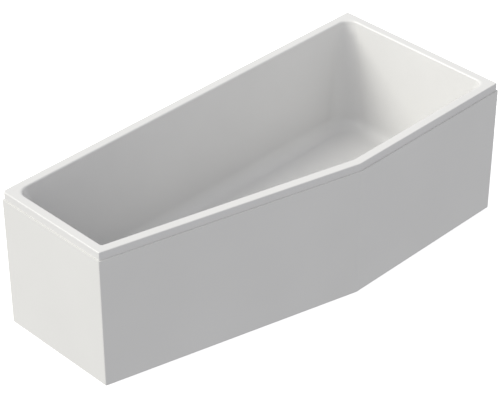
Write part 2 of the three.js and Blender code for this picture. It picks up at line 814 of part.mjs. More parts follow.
function buildWasteBody() {
  const { body, bodyWall, collar, neck, neckWall } = waste;
  const chamber = body - collar;
  const shell = turned([
    [0, bodyBottom],
    [chamber, bodyBottom],
    [chamber, bodyTop - collar],
    [body, bodyTop - collar],
    [body, bodyTop],
    [0, bodyTop],
  ]);
  const room = bar(chamber - bodyWall, bodyBottom + bodyWall, bodyTop + overrun);
  const outlet = bar(neck, neckBottom, bodyBottom + bodyWall);
  const outletBore = bar(neck - neckWall, neckBottom - overrun, bodyTop);
  const socketStart = -chamber - pipe.socketLength;
  const inlet = alongX(bar(pipe.socket, socketStart, -chamber + bodyWall)).translate([0, 0, inletZ]);
  const inletBore = alongX(bar(pipe.radius + seat, socketStart - overrun, -chamber - seat))
    .translate([0, 0, inletZ]);
  const inletWay = alongX(bar(pipe.radius - pipe.wall, socketStart, 0)).translate([0, 0, inletZ]);
  const cableMouth = chamber + cable.socketLength;
  const cableEnd = alongY(bar(cable.socket, chamber - bodyWall, cableMouth, 0, 0, smallSides))
    .translate([0, 0, inletZ]);
  const cableBore = alongY(bar(cable.radius + seat, chamber, cableMouth + overrun, 0, 0, smallSides))
    .translate([0, 0, inletZ]);
  const made = cut(join(shell, outlet, inlet, cableEnd), room, outletBore, inletBore, inletWay, cableBore);
  place("waste_body", made.translate([wastePlace.x, wastePlace.y, 0]), darkPlastic());
}

// Pop-up plug: its seal rests on the flange, and its stem slides in the hub
const plugSeat = flangeSeat + waste.flangeHeight + seat;

function buildPlug() {
  const top = plugSeat + plug.crown;
  const cap = turned([
    [0, plugSeat],
    [plug.radius - plug.edge, plugSeat],
    [plug.radius, plugSeat + plug.edge],
    [plug.radius * plug.shoulderShare, top - plug.edge / 2],
    [plug.radius * plug.flatShare, top],
    [0, top],
  ]);
  const stemTop = plugSeat - seat;
  const stem = bar(plug.stem, stemTop - plug.stemLength, stemTop);
  const sealTop = plugSeat - seat;
  const ring = tube(waste.cup - waste.cupWall - seat, plug.stem + seat, sealTop - plug.sealHeight, sealTop);
  const at = [wastePlace.x, wastePlace.y, 0];
  place("waste_plug", cap.translate(at), chrome());
  place("plug_stem", stem.translate(at), chrome());
  place("plug_seal", ring.translate(at), rubber());
}

// Trap under the waste, with its outlet towards the wall
const trapTop = neckBottom + trap.nutHeight / 2;
const bowlTop = trapTop - trap.nutHeight - seat;
const bowlBottom = bowlTop - trap.bowlHeight;
const outletZ = bowlBottom + trap.socket;

function buildTrap() {
  const at = [wastePlace.x, wastePlace.y, 0];
  const nutBottom = trapTop - trap.nutHeight;
  const blank = bar(trap.nutRadius, nutBottom, trapTop, 0, 0, smallSides);
  const nut = cut(blank, bar(waste.neck + seat, nutBottom - overrun, trapTop + overrun));
  place("trap_nut", nut.translate(at), darkPlastic());

  const shoulder = bowlTop - trap.shoulder;
  const { bowl, bowlRound, bowlWall } = trap;
  const shell = turned([
    [0, bowlBottom],
    [bowl - bowlRound, bowlBottom],
    [bowl, bowlBottom + bowlRound],
    [bowl, shoulder],
    [trap.nutRadius, bowlTop],
    [0, bowlTop],
  ]);
  const room = turned([
    [0, bowlBottom + bowlWall],
    [bowl - bowlRound, bowlBottom + bowlWall],
    [bowl - bowlWall, bowlBottom + bowlRound],
    [bowl - bowlWall, shoulder],
    [waste.neck - waste.neckWall, shoulder],
    [waste.neck - waste.neckWall, bowlTop + overrun],
    [0, bowlTop + overrun],
  ]);
  const socketEnd = bowl + trap.socketLength;
  const socket = alongY(bar(trap.socket, trap.nutRadius + seat, socketEnd)).translate([0, 0, outletZ]);
  const way = alongY(bar(trap.outletRadius - trap.outletWall, 0, socketEnd)).translate([0, 0, outletZ]);
  const mouth = alongY(bar(trap.outletRadius + seat, bowl + seat, socketEnd + overrun))
    .translate([0, 0, outletZ]);
  place("trap_body", cut(join(shell, socket), room, way, mouth).translate(at), darkPlastic());

  const start = bowl + seat * 2;
  const end = backY - trap.wallSpace - wastePlace.y;
  const run = alongY(tube(trap.outletRadius, trap.outletRadius - trap.outletWall, start, end));
  place("trap_outlet", run.translate([wastePlace.x, wastePlace.y, outletZ]), plastic());
}

// Overflow, in the frame of the narrow end wall
const wallBack = -rim.skin - seat;
const sealBack = wallBack - overflow.sealHeight;
const cupFront = sealBack - seat;
const cupBack = cupFront - overflow.bodyDepth;
const spigotX = (cupFront + cupBack) / 2;
const knobBack = seat + overflow.plateHeight + overflow.knobGap;

function buildOverflow() {
  const { bodyWall, body, bodyFlange, bodyFlangeHeight, hub, shaft } = overflow;
  const seal = alongX(tube(overflow.seal, overflow.hole, sealBack, wallBack));
  place("overflow_seal", seal, rubber(), overflowFrame);

  const flange = alongX(bar(bodyFlange, cupFront - bodyFlangeHeight, cupFront));
  const cup = alongX(bar(body, cupBack, cupFront));
  const room = alongX(bar(body - bodyWall, cupBack + bodyWall, cupFront + overrun));
  const reach = bodyFlange + overflow.spigotLength;
  const spigot = (pipe.radius - pipe.wall) * Math.cos(Math.PI / smallSides) - seat;
  const outlet = bar(spigot, -reach, -body / 2, spigotX);
  const outletWay = bar(spigot - overflow.spigotWall, -reach - overrun, 0, spigotX);
  const cableEnd = bar(cable.socket, -reach, -body / 2, spigotX, cable.side, smallSides);
  const cableBore = bar(
    cable.radius + seat,
    -reach - overrun,
    cable.socketLength - reach,
    spigotX,
    cable.side,
    smallSides,
  );
  const shellMade = cut(join(flange, cup, outlet, cableEnd), room, outletWay, cableBore);
  place("overflow_body", shellMade, darkPlastic(), overflowFrame);

  // Plate: a ring on the wall with spokes that carry the knob's bearing
  const plateTop = seat + overflow.plateHeight;
  const ring = alongX(turned([
    [overflow.plateHole, seat],
    [overflow.plate, seat],
    [overflow.plate, seat + overflow.plateHeight / 2],
    [overflow.plate - overflow.plateHeight / 2, plateTop],
    [overflow.plateHole, plateTop],
  ]));
  const half = overflow.spokeWidth / 2;
  const spokeReach = overflow.plateHole + overflow.plateHeight / 2;
  const upright = block(seat, plateTop, -half, half, -spokeReach, spokeReach);
  const level = block(seat, plateTop, -spokeReach, spokeReach, -half, half);
  const bearing = alongX(bar(hub, cupFront, plateTop));
  const bore = alongX(bar(shaft + seat, cupFront - overrun, plateTop + overrun));
  const plateMade = cut(join(ring, upright, level, bearing), bore);
  place("overflow_plate", plateMade, chrome(), overflowFrame);

  // Knob: a dished cap with a grip bar, its shaft and the drum that winds the cable
  const { knob, knobHeight, knobWall, drum, drumHeight } = overflow;
  const knobTop = knobBack + knobHeight;
  const cap = alongX(turned([
    [0, knobTop - knobWall],
    [knob - knobWall, knobTop - knobWall],
    [knob - knobWall, knobBack],
    [knob, knobBack],
    [knob, knobTop - knobWall],
    [knob - knobWall, knobTop],
    [0, knobTop],
  ]));
  const gripHalf = overflow.gripWidth / 2;
  const gripReach = knob - knobWall * 2;
  const grip = block(
    knobTop - knobWall / 2,
    knobTop + overflow.gripHeight,
    -gripHalf,
    gripHalf,
    -gripReach,
    gripReach,
  );
  const drumFront = cupFront - seat * 2;
  const drumBack = drumFront - drumHeight;
  const shaftMade = alongX(bar(shaft, drumBack, knobTop - knobWall / 2));
  const drumMade = alongX(bar(drum, drumBack, drumFront));
  place("overflow_knob", join(cap, grip, shaftMade, drumMade), chrome(), overflowFrame);
}

// Overflow pipe: from round the overflow's spigot down along the wall, then into the waste's inlet
function pipeCurve() {
  const top = fromOverflow(spigotX, 0, -overflow.bodyFlange - seat);
  const along = fromOverflow(spigotX, 0, -overflow.bodyFlange - overflow.spigotLength).sub(top).normalize();
  const corner = top.clone().addScaledVector(along, (inletZ - top.z) / along.z);
  const bendTop = corner.clone().addScaledVector(along, -pipe.bend);
  const bendEnd = new THREE.Vector3(corner.x + pipe.bend, corner.y, inletZ);
  const end = new THREE.Vector3(wastePlace.x - (waste.body - waste.collar) - seat * 2, corner.y, inletZ);
  const path = new THREE.CurvePath();
  path.add(new THREE.LineCurve3(top, bendTop));
  path.add(new THREE.QuadraticBezierCurve3(bendTop, corner, bendEnd));
  path.add(new THREE.LineCurve3(bendEnd, end));
  return path;
}

function roundShape(radius, count) {
  const points = Array.from({ length: count }, (_, i) => {
    const angle = (Math.PI * 2 * i) / count;
    return new THREE.Vector2(Math.cos(angle), Math.sin(angle)).multiplyScalar(radius);
  });
  return new THREE.Shape(points);
}

function sweep(radius, count, path, steps) {
  return solid(new THREE.ExtrudeGeometry(roundShape(radius, count), { extrudePath: path, steps }));
}

function buildPipe() {
  const path = pipeCurve();
  const outer = sweep(pipe.radius, smallSides, path, pipeSteps);
  const bore = sweep(pipe.radius - pipe.wall, smallSides, path, pipeSteps);
  place("overflow_pipe", cut(outer, bore), plastic());
}

// Cable from the overflow's socket to the waste's socket. Its middle is a route chosen by hand,
// measured from the waste's centre at the height of its inlet.
const cableRoute = [
  [-162, 22, 196],
  [-150, 22, 116],
  [-138, 26, 56],
  [-116, 44, 18],
  [-84, 68, 3],
  [-50, 82, 0],
  [-20, 82, 0],
  [-4, 72, 0],
];

function buildCable() {
  const { side: across, socketLength, straight } = cable;
  const mouth = -overflow.bodyFlange - overflow.spigotLength;
  const top = fromOverflow(spigotX, across, mouth + socketLength - seat);
  const out = fromOverflow(spigotX, across, mouth);
  const clear = fromOverflow(spigotX, across, mouth - straight);
  const socketStart = waste.body - waste.collar + seat;
  const inSocket = [0, socketLength, socketLength + straight].map((reach) =>
    new THREE.Vector3(wastePlace.x, wastePlace.y + socketStart + reach, inletZ));
  const inlet = new THREE.Vector3(wastePlace.x, wastePlace.y, inletZ);
  const middle = cableRoute.map((p) => new THREE.Vector3(...p).add(inlet));
  const path = new THREE.CatmullRomCurve3([top, out, clear, ...middle, ...inSocket.reverse()]);
  place("bowden_cable", sweep(cable.radius, cableSides, path, cableSteps), darkPlastic());
}

buildShell();
buildBattens();
buildPanels();
buildClips();
buildWallBrackets();
buildBoard();
buildRails();
buildFeet();
buildCentrePlate();
buildWasteFlange();
buildWasteSeal();
buildWasteBody();
buildPlug();
buildTrap();
buildOverflow();
buildPipe();
buildCable();

export default root;
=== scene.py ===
"""Space-saver bathtub, seen as a studio picture: the smooth acrylic shell, its panels, legs and waste kit."""

import json
import logging
import math
from collections.abc import Callable, Iterator, Sequence
from contextlib import contextmanager
from dataclasses import dataclass, field
from enum import Enum

import bmesh
import bpy
from mathutils import Euler, Matrix, Vector

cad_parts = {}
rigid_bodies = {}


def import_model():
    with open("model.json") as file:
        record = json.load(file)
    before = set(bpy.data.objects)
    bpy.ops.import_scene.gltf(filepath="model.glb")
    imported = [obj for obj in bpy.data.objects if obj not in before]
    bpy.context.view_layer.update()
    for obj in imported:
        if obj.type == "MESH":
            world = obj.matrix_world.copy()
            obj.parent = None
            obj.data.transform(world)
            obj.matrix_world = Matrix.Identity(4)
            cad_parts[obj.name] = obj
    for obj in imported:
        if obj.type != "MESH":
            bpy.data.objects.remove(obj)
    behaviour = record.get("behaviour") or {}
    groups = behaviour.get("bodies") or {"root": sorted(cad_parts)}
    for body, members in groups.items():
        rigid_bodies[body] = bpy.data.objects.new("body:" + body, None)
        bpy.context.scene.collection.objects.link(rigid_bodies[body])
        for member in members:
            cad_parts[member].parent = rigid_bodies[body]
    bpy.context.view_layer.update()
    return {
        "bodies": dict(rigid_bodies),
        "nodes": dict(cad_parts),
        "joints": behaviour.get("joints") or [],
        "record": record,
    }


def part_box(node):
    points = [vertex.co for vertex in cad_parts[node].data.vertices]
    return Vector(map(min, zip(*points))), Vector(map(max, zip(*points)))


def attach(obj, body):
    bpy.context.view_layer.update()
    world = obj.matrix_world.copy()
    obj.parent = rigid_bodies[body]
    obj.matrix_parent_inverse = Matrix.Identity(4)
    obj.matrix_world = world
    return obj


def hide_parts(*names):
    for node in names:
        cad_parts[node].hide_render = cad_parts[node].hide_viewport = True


log = logging.getLogger("bathtub")

MM = 0.001

# A profile's corner by radius, height and rounding; a place by three distances; a line by place and way
ProfilePoint = tuple[float, float, float]
Corner = tuple[float, float, float]
PlanLine = tuple[Vector, Vector]
Piece = bpy.types.Object
Tree = bpy.types.NodeTree
Socket = bpy.types.NodeSocket


class Slot(str, Enum):
    """The record's material slots."""

    SHELL = "sanitary_acrylic"
    PANEL = "panel_acrylic"
    CHIPBOARD = "chipboard"
    TIMBER = "timber"
    ZINC = "zinc_steel"
    CHROME = "chrome"
    WHITE = "white_plastic"
    BLACK = "black_plastic"
    RUBBER = "rubber"


class Step(str, Enum):
    """What a piece does with another one: takes it in, is cut by it, or keeps what both share."""

    JOIN = "UNION"
    CUT = "DIFFERENCE"
    SHARE = "INTERSECT"


# Finishes


def linear(code: str) -> tuple[float, float, float, float]:
    """Turns an sRGB hex colour into a linear one.

    Args:
        code: The colour as #RRGGBB.

    Returns:
        Red, green and blue as linear values, with an alpha of one.
    """

    def channel(value: int) -> float:
        """Turns one channel, from 0 to 255, into a linear value."""
        share = value / 255
        return share / 12.92 if share <= 0.04045 else ((share + 0.055) / 1.055) ** 2.4

    return (*(channel(int(code[i : i + 2], 16)) for i in (1, 3, 5)), 1.0)


def fill_inputs(node: bpy.types.Node, inputs: dict) -> None:
    """Gives a node's inputs their values, or links them to the outputs that feed them.

    Args:
        node: The node.
        inputs: Socket name or number to a value, or to the output that feeds it.
    """
    for name, value in inputs.items():
        if isinstance(value, Socket):
            node.id_data.links.new(value, node.inputs[name])
        else:
            node.inputs[name].default_value = value


def add_node(tree: Tree, kind: str, output: str | int, inputs: dict, **settings: object) -> Socket:
    """Adds a shader node with its settings and the values or links of its inputs.

    Args:
        tree: The material's node tree.
        kind: The node's type name without the ShaderNode at its start.
        output: Name or number of the output that is wanted.
        inputs: Socket name or number to a value, or to the output that feeds it.
        settings: The node's own properties.

    Returns:
        The wanted output.
    """
    node = tree.nodes.new("ShaderNode" + kind)
    for name, value in settings.items():
        setattr(node, name, value)
    fill_inputs(node, inputs)
    return node.outputs[output]


def spread(value: Socket, low: float, high: float, start: float = 0.3, end: float = 0.7) -> dict:
    """Gives the inputs that map a pattern's range onto another.

    Args:
        value: The pattern.
        low: What the start of its range becomes.
        high: What the end of its range becomes.
        start: Where its range starts; a noise keeps mostly between 0.3 and 0.7.
        end: Where its range ends.

    Returns:
        The inputs.
    """
    return {"Value": value, "From Min": start, "From Max": end, "To Min": low, "To Max": high}


@dataclass(frozen=True)
class Lumps:
    """A noise: the size of its lumps in metres, and how many finer layers it has."""

    size: float
    detail: float

    def inputs(self, place: Socket) -> dict:
        """Gives the noise's inputs for a piece's own coordinates."""
        return {"Vector": place, "Scale": 1 / self.size, "Detail": self.detail}


@dataclass(frozen=True)
class Relief:
    """A pattern that stands off the surface: its depth in metres, how much of it shows, and its noise."""

    depth: float
    strength: float
    lumps: Lumps | None = None


@dataclass(frozen=True)
class Finish:
    """One finish: a shader with typical values, clouds between two colours, an uneven sheen and reliefs."""

    name: str
    colour: str
    shade: str
    roughness: float
    ior: float = 1.5
    metallic: float = 0.0
    cloud: Lumps | None = None
    haze: Lumps | None = None
    brighter: float = 0.0
    duller: float = 0.0
    reliefs: tuple[Relief, ...] = ()

    def build(self) -> bpy.types.Material:
        """Makes the material.

        Returns:
            The material with its pattern.
        """
        material = bpy.data.materials.new(self.name)
        material.use_nodes = True
        tree = material.node_tree
        shader = tree.nodes["Principled BSDF"]
        even = {"Base Color": linear(self.colour), "Roughness": self.roughness}
        fill_inputs(shader, {**even, "IOR": self.ior, "Metallic": self.metallic})
        place = add_node(tree, "TexCoord", "Object", {})
        share, heights = self.pattern(tree, place)
        if share:
            tints = {0: share, 6: linear(self.colour), 7: linear(self.shade)}
            fill_inputs(shader, {"Base Color": add_node(tree, "Mix", 2, tints, data_type="RGBA")})
        if self.haze:
            haze = add_node(tree, "TexNoise", "Fac", self.haze.inputs(place))
            sheen = spread(haze, self.roughness - self.brighter, self.roughness + self.duller)
            fill_inputs(shader, {"Roughness": add_node(tree, "MapRange", "Result", sheen)})
        bent: dict[str, Socket] = {}
        for relief, height in zip(self.reliefs, heights):
            raised = {"Height": height, "Distance": relief.depth, "Strength": relief.strength}
            bent = {"Normal": add_node(tree, "Bump", "Normal", raised | bent)}
        fill_inputs(shader, bent)
        return material

    def pattern(self, tree: Tree, place: Socket) -> tuple[Socket | None, list[Socket]]:
        """Adds the finish's own patterns, which are its clouds and its reliefs' noises by default.

        Args:
            tree: The material's node tree.
            place: The piece's own coordinates, in metres.

        Returns:
            How much of the second colour shows, and a height for each relief.
        """
        share = None
        if self.cloud:
            clouds = add_node(tree, "TexNoise", "Fac", self.cloud.inputs(place))
            share = add_node(tree, "MapRange", "Result", spread(clouds, 0, 1))
        noises = [relief.lumps for relief in self.reliefs if relief.lumps]
        return share, [add_node(tree, "TexNoise", "Fac", lumps.inputs(place)) for lumps in noises]


@dataclass(frozen=True)
class SanitaryAcrylic(Finish):
    """Cast acrylic sheet, vacuum formed: a deep even gloss over slow waves and a very slight orange peel."""

    cloud: Lumps = Lumps(0.35, 2.0)
    reliefs: tuple[Relief, ...] = (
        Relief(0.0001, 1.0, Lumps(0.30, 1.0)),
        Relief(0.000002, 0.6, Lumps(0.0030, 2.0)),
    )


@dataclass(frozen=True)
class ChoppedGlassBacking(Finish):
    """Resin with chopped glass strands, rolled on the back of the acrylic: dull, lumpy and fibrous."""

    strand: Lumps = Lumps(0.0012, 1.0)
    strand_length_share: float = 0.06
    turns: tuple[float, ...] = (0.3, 1.4, 2.5)
    thinnest: float = 0.52
    fullest: float = 0.68
    resin: Lumps = Lumps(0.012, 4.0)
    reliefs: tuple[Relief, ...] = (Relief(0.0006, 1.0), Relief(0.00015, 0.8))

    def pattern(self, tree: Tree, place: Socket) -> tuple[Socket | None, list[Socket]]:
        """Lays strands in three directions over the lumpy resin; they are drawn coarser than real ones.

        Args:
            tree: The material's node tree.
            place: The piece's own coordinates, in metres.

        Returns:
            How much of the second colour shows, and a height for each relief.
        """
        total = 0.0
        for turn in self.turns:
            turned = {"Vector": place, "Rotation": (turn, turn / 2, turn)}
            across = add_node(tree, "Mapping", "Vector", turned)
            stretched = {"Vector": across, "Scale": (self.strand_length_share, 1, 1)}
            laid = add_node(tree, "Mapping", "Vector", stretched)
            thread = add_node(tree, "TexNoise", "Fac", self.strand.inputs(laid))
            total = add_node(tree, "Math", 0, {0: total, 1: thread}, operation="MAXIMUM")
        strands = add_node(tree, "MapRange", "Result", spread(total, 0, 1, self.thinnest, self.fullest))
        return strands, [add_node(tree, "TexNoise", "Fac", self.resin.inputs(place)), strands]


@dataclass(frozen=True)
class Chipboard(Finish):
    """Pressed wood chips under a thin coat of resin: matt, each chip in its own brown with a slight edge."""

    chip: float = 0.0035
    reliefs: tuple[Relief, ...] = (Relief(0.0003, 0.6),)

    def pattern(self, tree: Tree, place: Socket) -> tuple[Socket | None, list[Socket]]:
        """Gives each chip its own brown and a slight edge.

        Args:
            tree: The material's node tree.
            place: The piece's own coordinates, in metres.

        Returns:
            How much of the second colour shows, and a height for each relief.
        """
        cells = {"Vector": place, "Scale": 1 / self.chip, "Randomness": 1.0}
        edges = add_node(tree, "TexVoronoi", "Distance", cells)
        return add_node(tree, "SeparateColor", "Red", {"Color": edges.node.outputs["Color"]}), [edges]


@dataclass(frozen=True)
class SawnSoftwood(Finish):
    """Sawn spruce: pale wood with darker late-wood lines along each batten, a little rough from the saw."""

    turn: float = 0.0
    ring: float = 0.005
    run_share: float = 0.04
    fibre: Lumps = Lumps(0.0009, 3.0)
    reliefs: tuple[Relief, ...] = (Relief(0.0002, 0.7),)

    def pattern(self, tree: Tree, place: Socket) -> tuple[Socket | None, list[Socket]]:
        """Draws growth rings stretched along the batten, with fibres in them.

        Args:
            tree: The material's node tree.
            place: The piece's own coordinates, in metres.

        Returns:
            How much of the second colour shows, and a height for each relief.
        """
        turned = add_node(tree, "Mapping", "Vector", {"Vector": place, "Rotation": (0, 0, self.turn)})
        along = add_node(tree, "Mapping", "Vector", {"Vector": turned, "Scale": (self.run_share, 1, 1)})
        bands = {"Vector": along, "Scale": 1 / self.ring / math.tau, "Distortion": 3.0}
        bands |= {"Detail": 2.0, "Detail Scale": 1.5}
        rings = add_node(tree, "TexWave", "Fac", bands, wave_type="BANDS", bands_direction="DIAGONAL")
        fibres = add_node(tree, "TexNoise", "Fac", self.fibre.inputs(along))
        return add_node(tree, "Math", 0, {0: rings, 1: fibres}, operation="MULTIPLY"), [fibres]


@dataclass(frozen=True)
class ZincPlate(Finish):
    """Pressed steel with bright zinc: a cloudy blue-grey metal with a soft, clouded sheen."""

    cloud: Lumps = Lumps(0.012, 4.0)
    haze: Lumps = Lumps(0.012, 4.0)
    brighter: float = 0.08
    duller: float = 0.1
    reliefs: tuple[Relief, ...] = (Relief(0.00003, 0.5, Lumps(0.0015, 2.0)),)


@dataclass(frozen=True)
class ChromePlate(Finish):
    """Bright chrome over brass: a clean mirror of one colour, with a faint haze from wiping."""

    haze: Lumps = Lumps(0.018, 5.0)
    duller: float = 0.07


@dataclass(frozen=True)
class MouldedPlastic(Finish):
    """Injection-moulded plastic or rubber: a fine spark-eroded stipple, flow marks and an uneven sheen."""

    cloud: Lumps = Lumps(0.03, 3.0)
    haze: Lumps = Lumps(0.01, 3.0)
    brighter: float = 0.06
    duller: float = 0.06
    reliefs: tuple[Relief, ...] = (Relief(0.00004, 0.7, Lumps(0.0007, 2.0)),)


# Timber isn't here, because each batten's wood is turned to the batten's own run
SLOT_FINISHES: dict[Slot, Finish] = {
    Slot.SHELL: SanitaryAcrylic("Sanitary acrylic", "#D4D4D4", "#D1D1D1", 0.24, 1.49),
    Slot.PANEL: SanitaryAcrylic("Panel acrylic", "#D5D5D4", "#D2D2D1", 0.28, 1.49),
    Slot.CHIPBOARD: Chipboard("Chipboard", "#C3A06C", "#8A6A43", 0.82, 1.5),
    Slot.ZINC: ZincPlate("Zinc plate", "#C6CBD0", "#A9AFB4", 0.36, metallic=1.0),
    Slot.CHROME: ChromePlate("Chrome plate", "#DADDE0", "#DADDE0", 0.05, metallic=1.0),
    Slot.WHITE: MouldedPlastic("White polypropylene", "#E0E0DC", "#D2D2CE", 0.42, 1.49),
    Slot.BLACK: MouldedPlastic("Black polypropylene", "#232426", "#2C2D30", 0.46, 1.49),
    Slot.RUBBER: MouldedPlastic("Nitrile rubber", "#1D1E20", "#27282A", 0.72, 1.52),
}
BACKING = ChoppedGlassBacking("Chopped glass backing", "#C0BEAF", "#D2D0C4", 0.62, 1.54)


# Bench tools: small steps that every sub-assembly uses


def take_up(piece: Piece) -> None:
    """Selects one piece and makes it active, so that an operator acts on it alone.

    Args:
        piece: The piece.
    """
    bpy.ops.object.select_all(action="DESELECT")
    piece.select_set(True)
    bpy.context.view_layer.objects.active = piece


@contextmanager
def editing(piece: Piece, pick: str = "VERT") -> Iterator[None]:
    """Opens a piece in edit mode with all of it selected, and closes it again.

    Args:
        piece: The piece.
        pick: What is picked there: VERT or EDGE.
    """
    take_up(piece)
    bpy.ops.object.mode_set(mode="EDIT")
    bpy.ops.mesh.select_mode(type=pick)
    bpy.ops.mesh.select_all(action="SELECT")
    yield
    bpy.ops.object.mode_set(mode="OBJECT")


def primitive(name: str, add: Callable, **settings: object) -> Piece:
    """Starts a piece from a primitive.

    Args:
        name: Name of the piece.
        add: The operator that adds the primitive.
        settings: Its size and place.

    Returns:
        The piece, selected alone.
    """
    bpy.ops.object.select_all(action="DESELECT")
    add(**settings)
    piece = bpy.context.object
    piece.name = name
    return piece


def modify(piece: Piece, kind: str, **settings: object) -> None:
    """Adds a modifier to a piece and applies it.

    Args:
        piece: The piece.
        kind: The modifier's type.
        settings: The modifier's own properties.
    """
    take_up(piece)
    modifier = piece.modifiers.new(kind, kind)
    for name, value in settings.items():
        setattr(modifier, name, value)
    bpy.ops.object.modifier_apply(modifier=modifier.name)


def merge_and_close(piece: Piece, distance: float = 1e-6) -> None:
    """Merges points that are closer than a distance and turns all faces outwards.

    Args:
        piece: The piece.
        distance: Points that are closer than this become one, in metres.
    """
    with editing(piece):
        bpy.ops.mesh.remove_doubles(threshold=distance)
        bpy.ops.mesh.normals_make_consistent(inside=False)


def smooth(piece: Piece, degrees: float = 32.0) -> None:
    """Shades the piece smooth apart from its sharp edges, and keeps wide faces flat beside soft edges.

    Args:
        piece: The piece.
        degrees: Edges that turn by more than this stay sharp.
    """
    take_up(piece)
    bpy.ops.object.shade_smooth_by_angle(angle=math.radians(degrees))
    modify(piece, "WEIGHTED_NORMAL", keep_sharp=True)


def combine(piece: Piece, step: Step, *others: Piece) -> Piece:
    """Combines a piece with others, and removes those.

    Args:
        piece: The closed piece that stays.
        step: What it does with the others.
        others: The closed pieces that are used up.

    Returns:
        The piece.
    """
    for other in others:
        modify(piece, "BOOLEAN", object=other, operation=step.value, solver="MANIFOLD")
        bpy.data.objects.remove(other)
    return piece


def bore(piece: Piece, radius: float, depth: float, at: Vector, axis: Vector, sides: int = 96) -> None:
    """Cuts a round hole into a piece.

    Args:
        piece: The piece that is cut.
        radius: Radius of the hole, in metres.
        depth: Length of the cutter.
        at: Middle of the cutter.
        axis: Direction of the hole.
        sides: Sides of the cutter.
    """
    turn = axis.to_track_quat("Z", "Y").to_euler()
    size = {"vertices": sides, "radius": radius, "depth": depth}
    cutter = primitive("cutter", bpy.ops.mesh.primitive_cylinder_add, location=at, rotation=turn, **size)
    combine(piece, Step.CUT, cutter)


def dress(piece: Piece, *materials: bpy.types.Material) -> None:
    """Puts materials into a piece's slots in order, in place of what was there.

    Args:
        piece: The piece.
        materials: Its materials, in the order of its slots.
    """
    piece.data.materials.clear()
    for material in materials:
        piece.data.materials.append(material)


def moved_copy(piece: Piece, name: str, way: Vector) -> Piece:
    """Copies a piece with a mesh of its own, and moves the mesh.

    Args:
        piece: The piece that is copied.
        name: Name of the copy.
        way: How far the mesh is moved.

    Returns:
        The copy.
    """
    mesh = piece.data.copy()
    mesh.transform(Matrix.Translation(way))
    copy = bpy.data.objects.new(name, mesh)
    bpy.context.scene.collection.objects.link(copy)
    return copy


@dataclass
class Workshop:
    """Where pieces are finished: what the record says of every node, and each finish made once."""

    frame: dict
    bodies: dict[str, str] = field(init=False)
    slots: dict[str, Slot] = field(init=False)
    finishes: dict[Slot, bpy.types.Material] = field(init=False)

    def __post_init__(self) -> None:
        """Reads each node's body and slot from the record, and makes the finishes."""
        record = self.frame["record"]
        groups = record["behaviour"]["bodies"]
        self.bodies = {node: body for body, nodes in groups.items() for node in nodes}
        self.slots = {part["node"]: Slot(part["material_slot"]) for part in record["subparts"]}
        self.finishes = {slot: finish.build() for slot, finish in SLOT_FINISHES.items()}

    def stand_for(self, piece: Piece, node: str, *materials: bpy.types.Material) -> None:
        """Finishes a piece: smooth shading, the material of its node's slot and its body, and hides the node
        that it stands for.

        Args:
            piece: The piece.
            node: The node that it stands for.
            materials: Its materials, where they aren't those of the node's slot.
        """
        slot = self.slots[node]
        smooth(piece)
        dress(piece, *(materials or (self.finishes[slot],)))
        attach(piece, self.bodies[node])
        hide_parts(node)
        log.info("%s: %d faces, stands for %s", piece.name, len(piece.data.polygons), node)

    def repeat_for(self, piece: Piece, nodes: list[str], ending: str) -> None:
        """Copies a piece to the places of some nodes that are alike, and finishes every copy.

        Args:
            piece: The piece, made at the first node's place.
            nodes: The nodes.
            ending: What follows the node's name in the piece's.
        """
        piece.name = nodes[0] + ending
        first = seat(nodes[0])[0].at
        others = [moved_copy(piece, node + ending, seat(node)[0].at - first) for node in nodes[1:]]
        for made, node in zip([piece, *others], nodes):
            self.stand_for(made, node)


def softened_copy(
    node: str, name: str, radius: float, segments: int = 2, sharp: float = 30.0, flat: float = 0.5
) -> Piece:
    """Copies a node's solid, merges its facets and rounds its edges.

    Args:
        node: The node that is copied.
        name: Name of the new piece.
        radius: Width of the rounding.
        segments: Steps of the rounding.
        sharp: Edges that turn by more than this many degrees are rounded.
        flat: Facets that turn by less than this many degrees are merged.

    Returns:
        The new piece.
    """
    piece = moved_copy(bpy.data.objects[node], name, Vector())
    merge_and_close(piece)
    with editing(piece, "EDGE"):
        bpy.ops.mesh.dissolve_limited(angle_limit=math.radians(flat))
        bpy.ops.mesh.select_all(action="DESELECT")
        bpy.ops.mesh.edges_select_sharp(sharpness=math.radians(sharp))
        bpy.ops.mesh.bevel(offset=radius, segments=segments, affect="EDGES", clamp_overlap=True)
    smooth(piece, sharp)
    return piece


# Lines and corners that the pieces share


def shifted_line(start: Vector, end: Vector, distance: float) -> PlanLine:
    """Moves a plan line to the left of its travel.

    Args:
        start: Where the line starts.
        end: Where it ends.
        distance: How far it moves.

    Returns:
        A point on the moved line, and its direction.
    """
    along = (end - start).normalized()
    return start + Vector((-along.y, along.x)) * distance, along


def crossing(first: PlanLine, second: PlanLine) -> Vector:
    """Gives the point where two plan lines meet."""
    gap = second[0] - first[0]
    return first[0] + first[1] * (gap.cross(second[1]) / first[1].cross(second[1]))


def rounded(before: Vector, at: Vector, after: Vector, radius: float, steps: int) -> list[Vector]:
    """Rounds the corner between two straight runs.

    Args:
        before: A point on the run that comes in.
        at: The sharp corner.
        after: A point on the run that leaves.
        radius: Radius of the arc.
        steps: Steps of the arc.

    Returns:
        The arc's points, or the corner alone where the radius is zero.
    """
    if radius <= 0:
        return [at.copy()]
    back = (before - at).normalized()
    on = (after - at).normalized()
    half = math.acos(max(-1.0, min(1.0, back.dot(on)))) / 2
    centre = at + (back + on).normalized() * (radius / math.sin(half))
    start = at + back * (radius / math.tan(half)) - centre
    first = math.atan2(start.y, start.x)
    turn = math.copysign(math.pi - 2 * half, on.cross(back))
    angles = [first + turn * i / steps for i in range(steps + 1)]
    return [centre + Vector((math.cos(angle), math.sin(angle))) * radius for angle in angles]


def mix(low: float, high: float, share: float) -> float:
    """Gives the value at a share of the way between two values."""
    return low + (high - low) * share


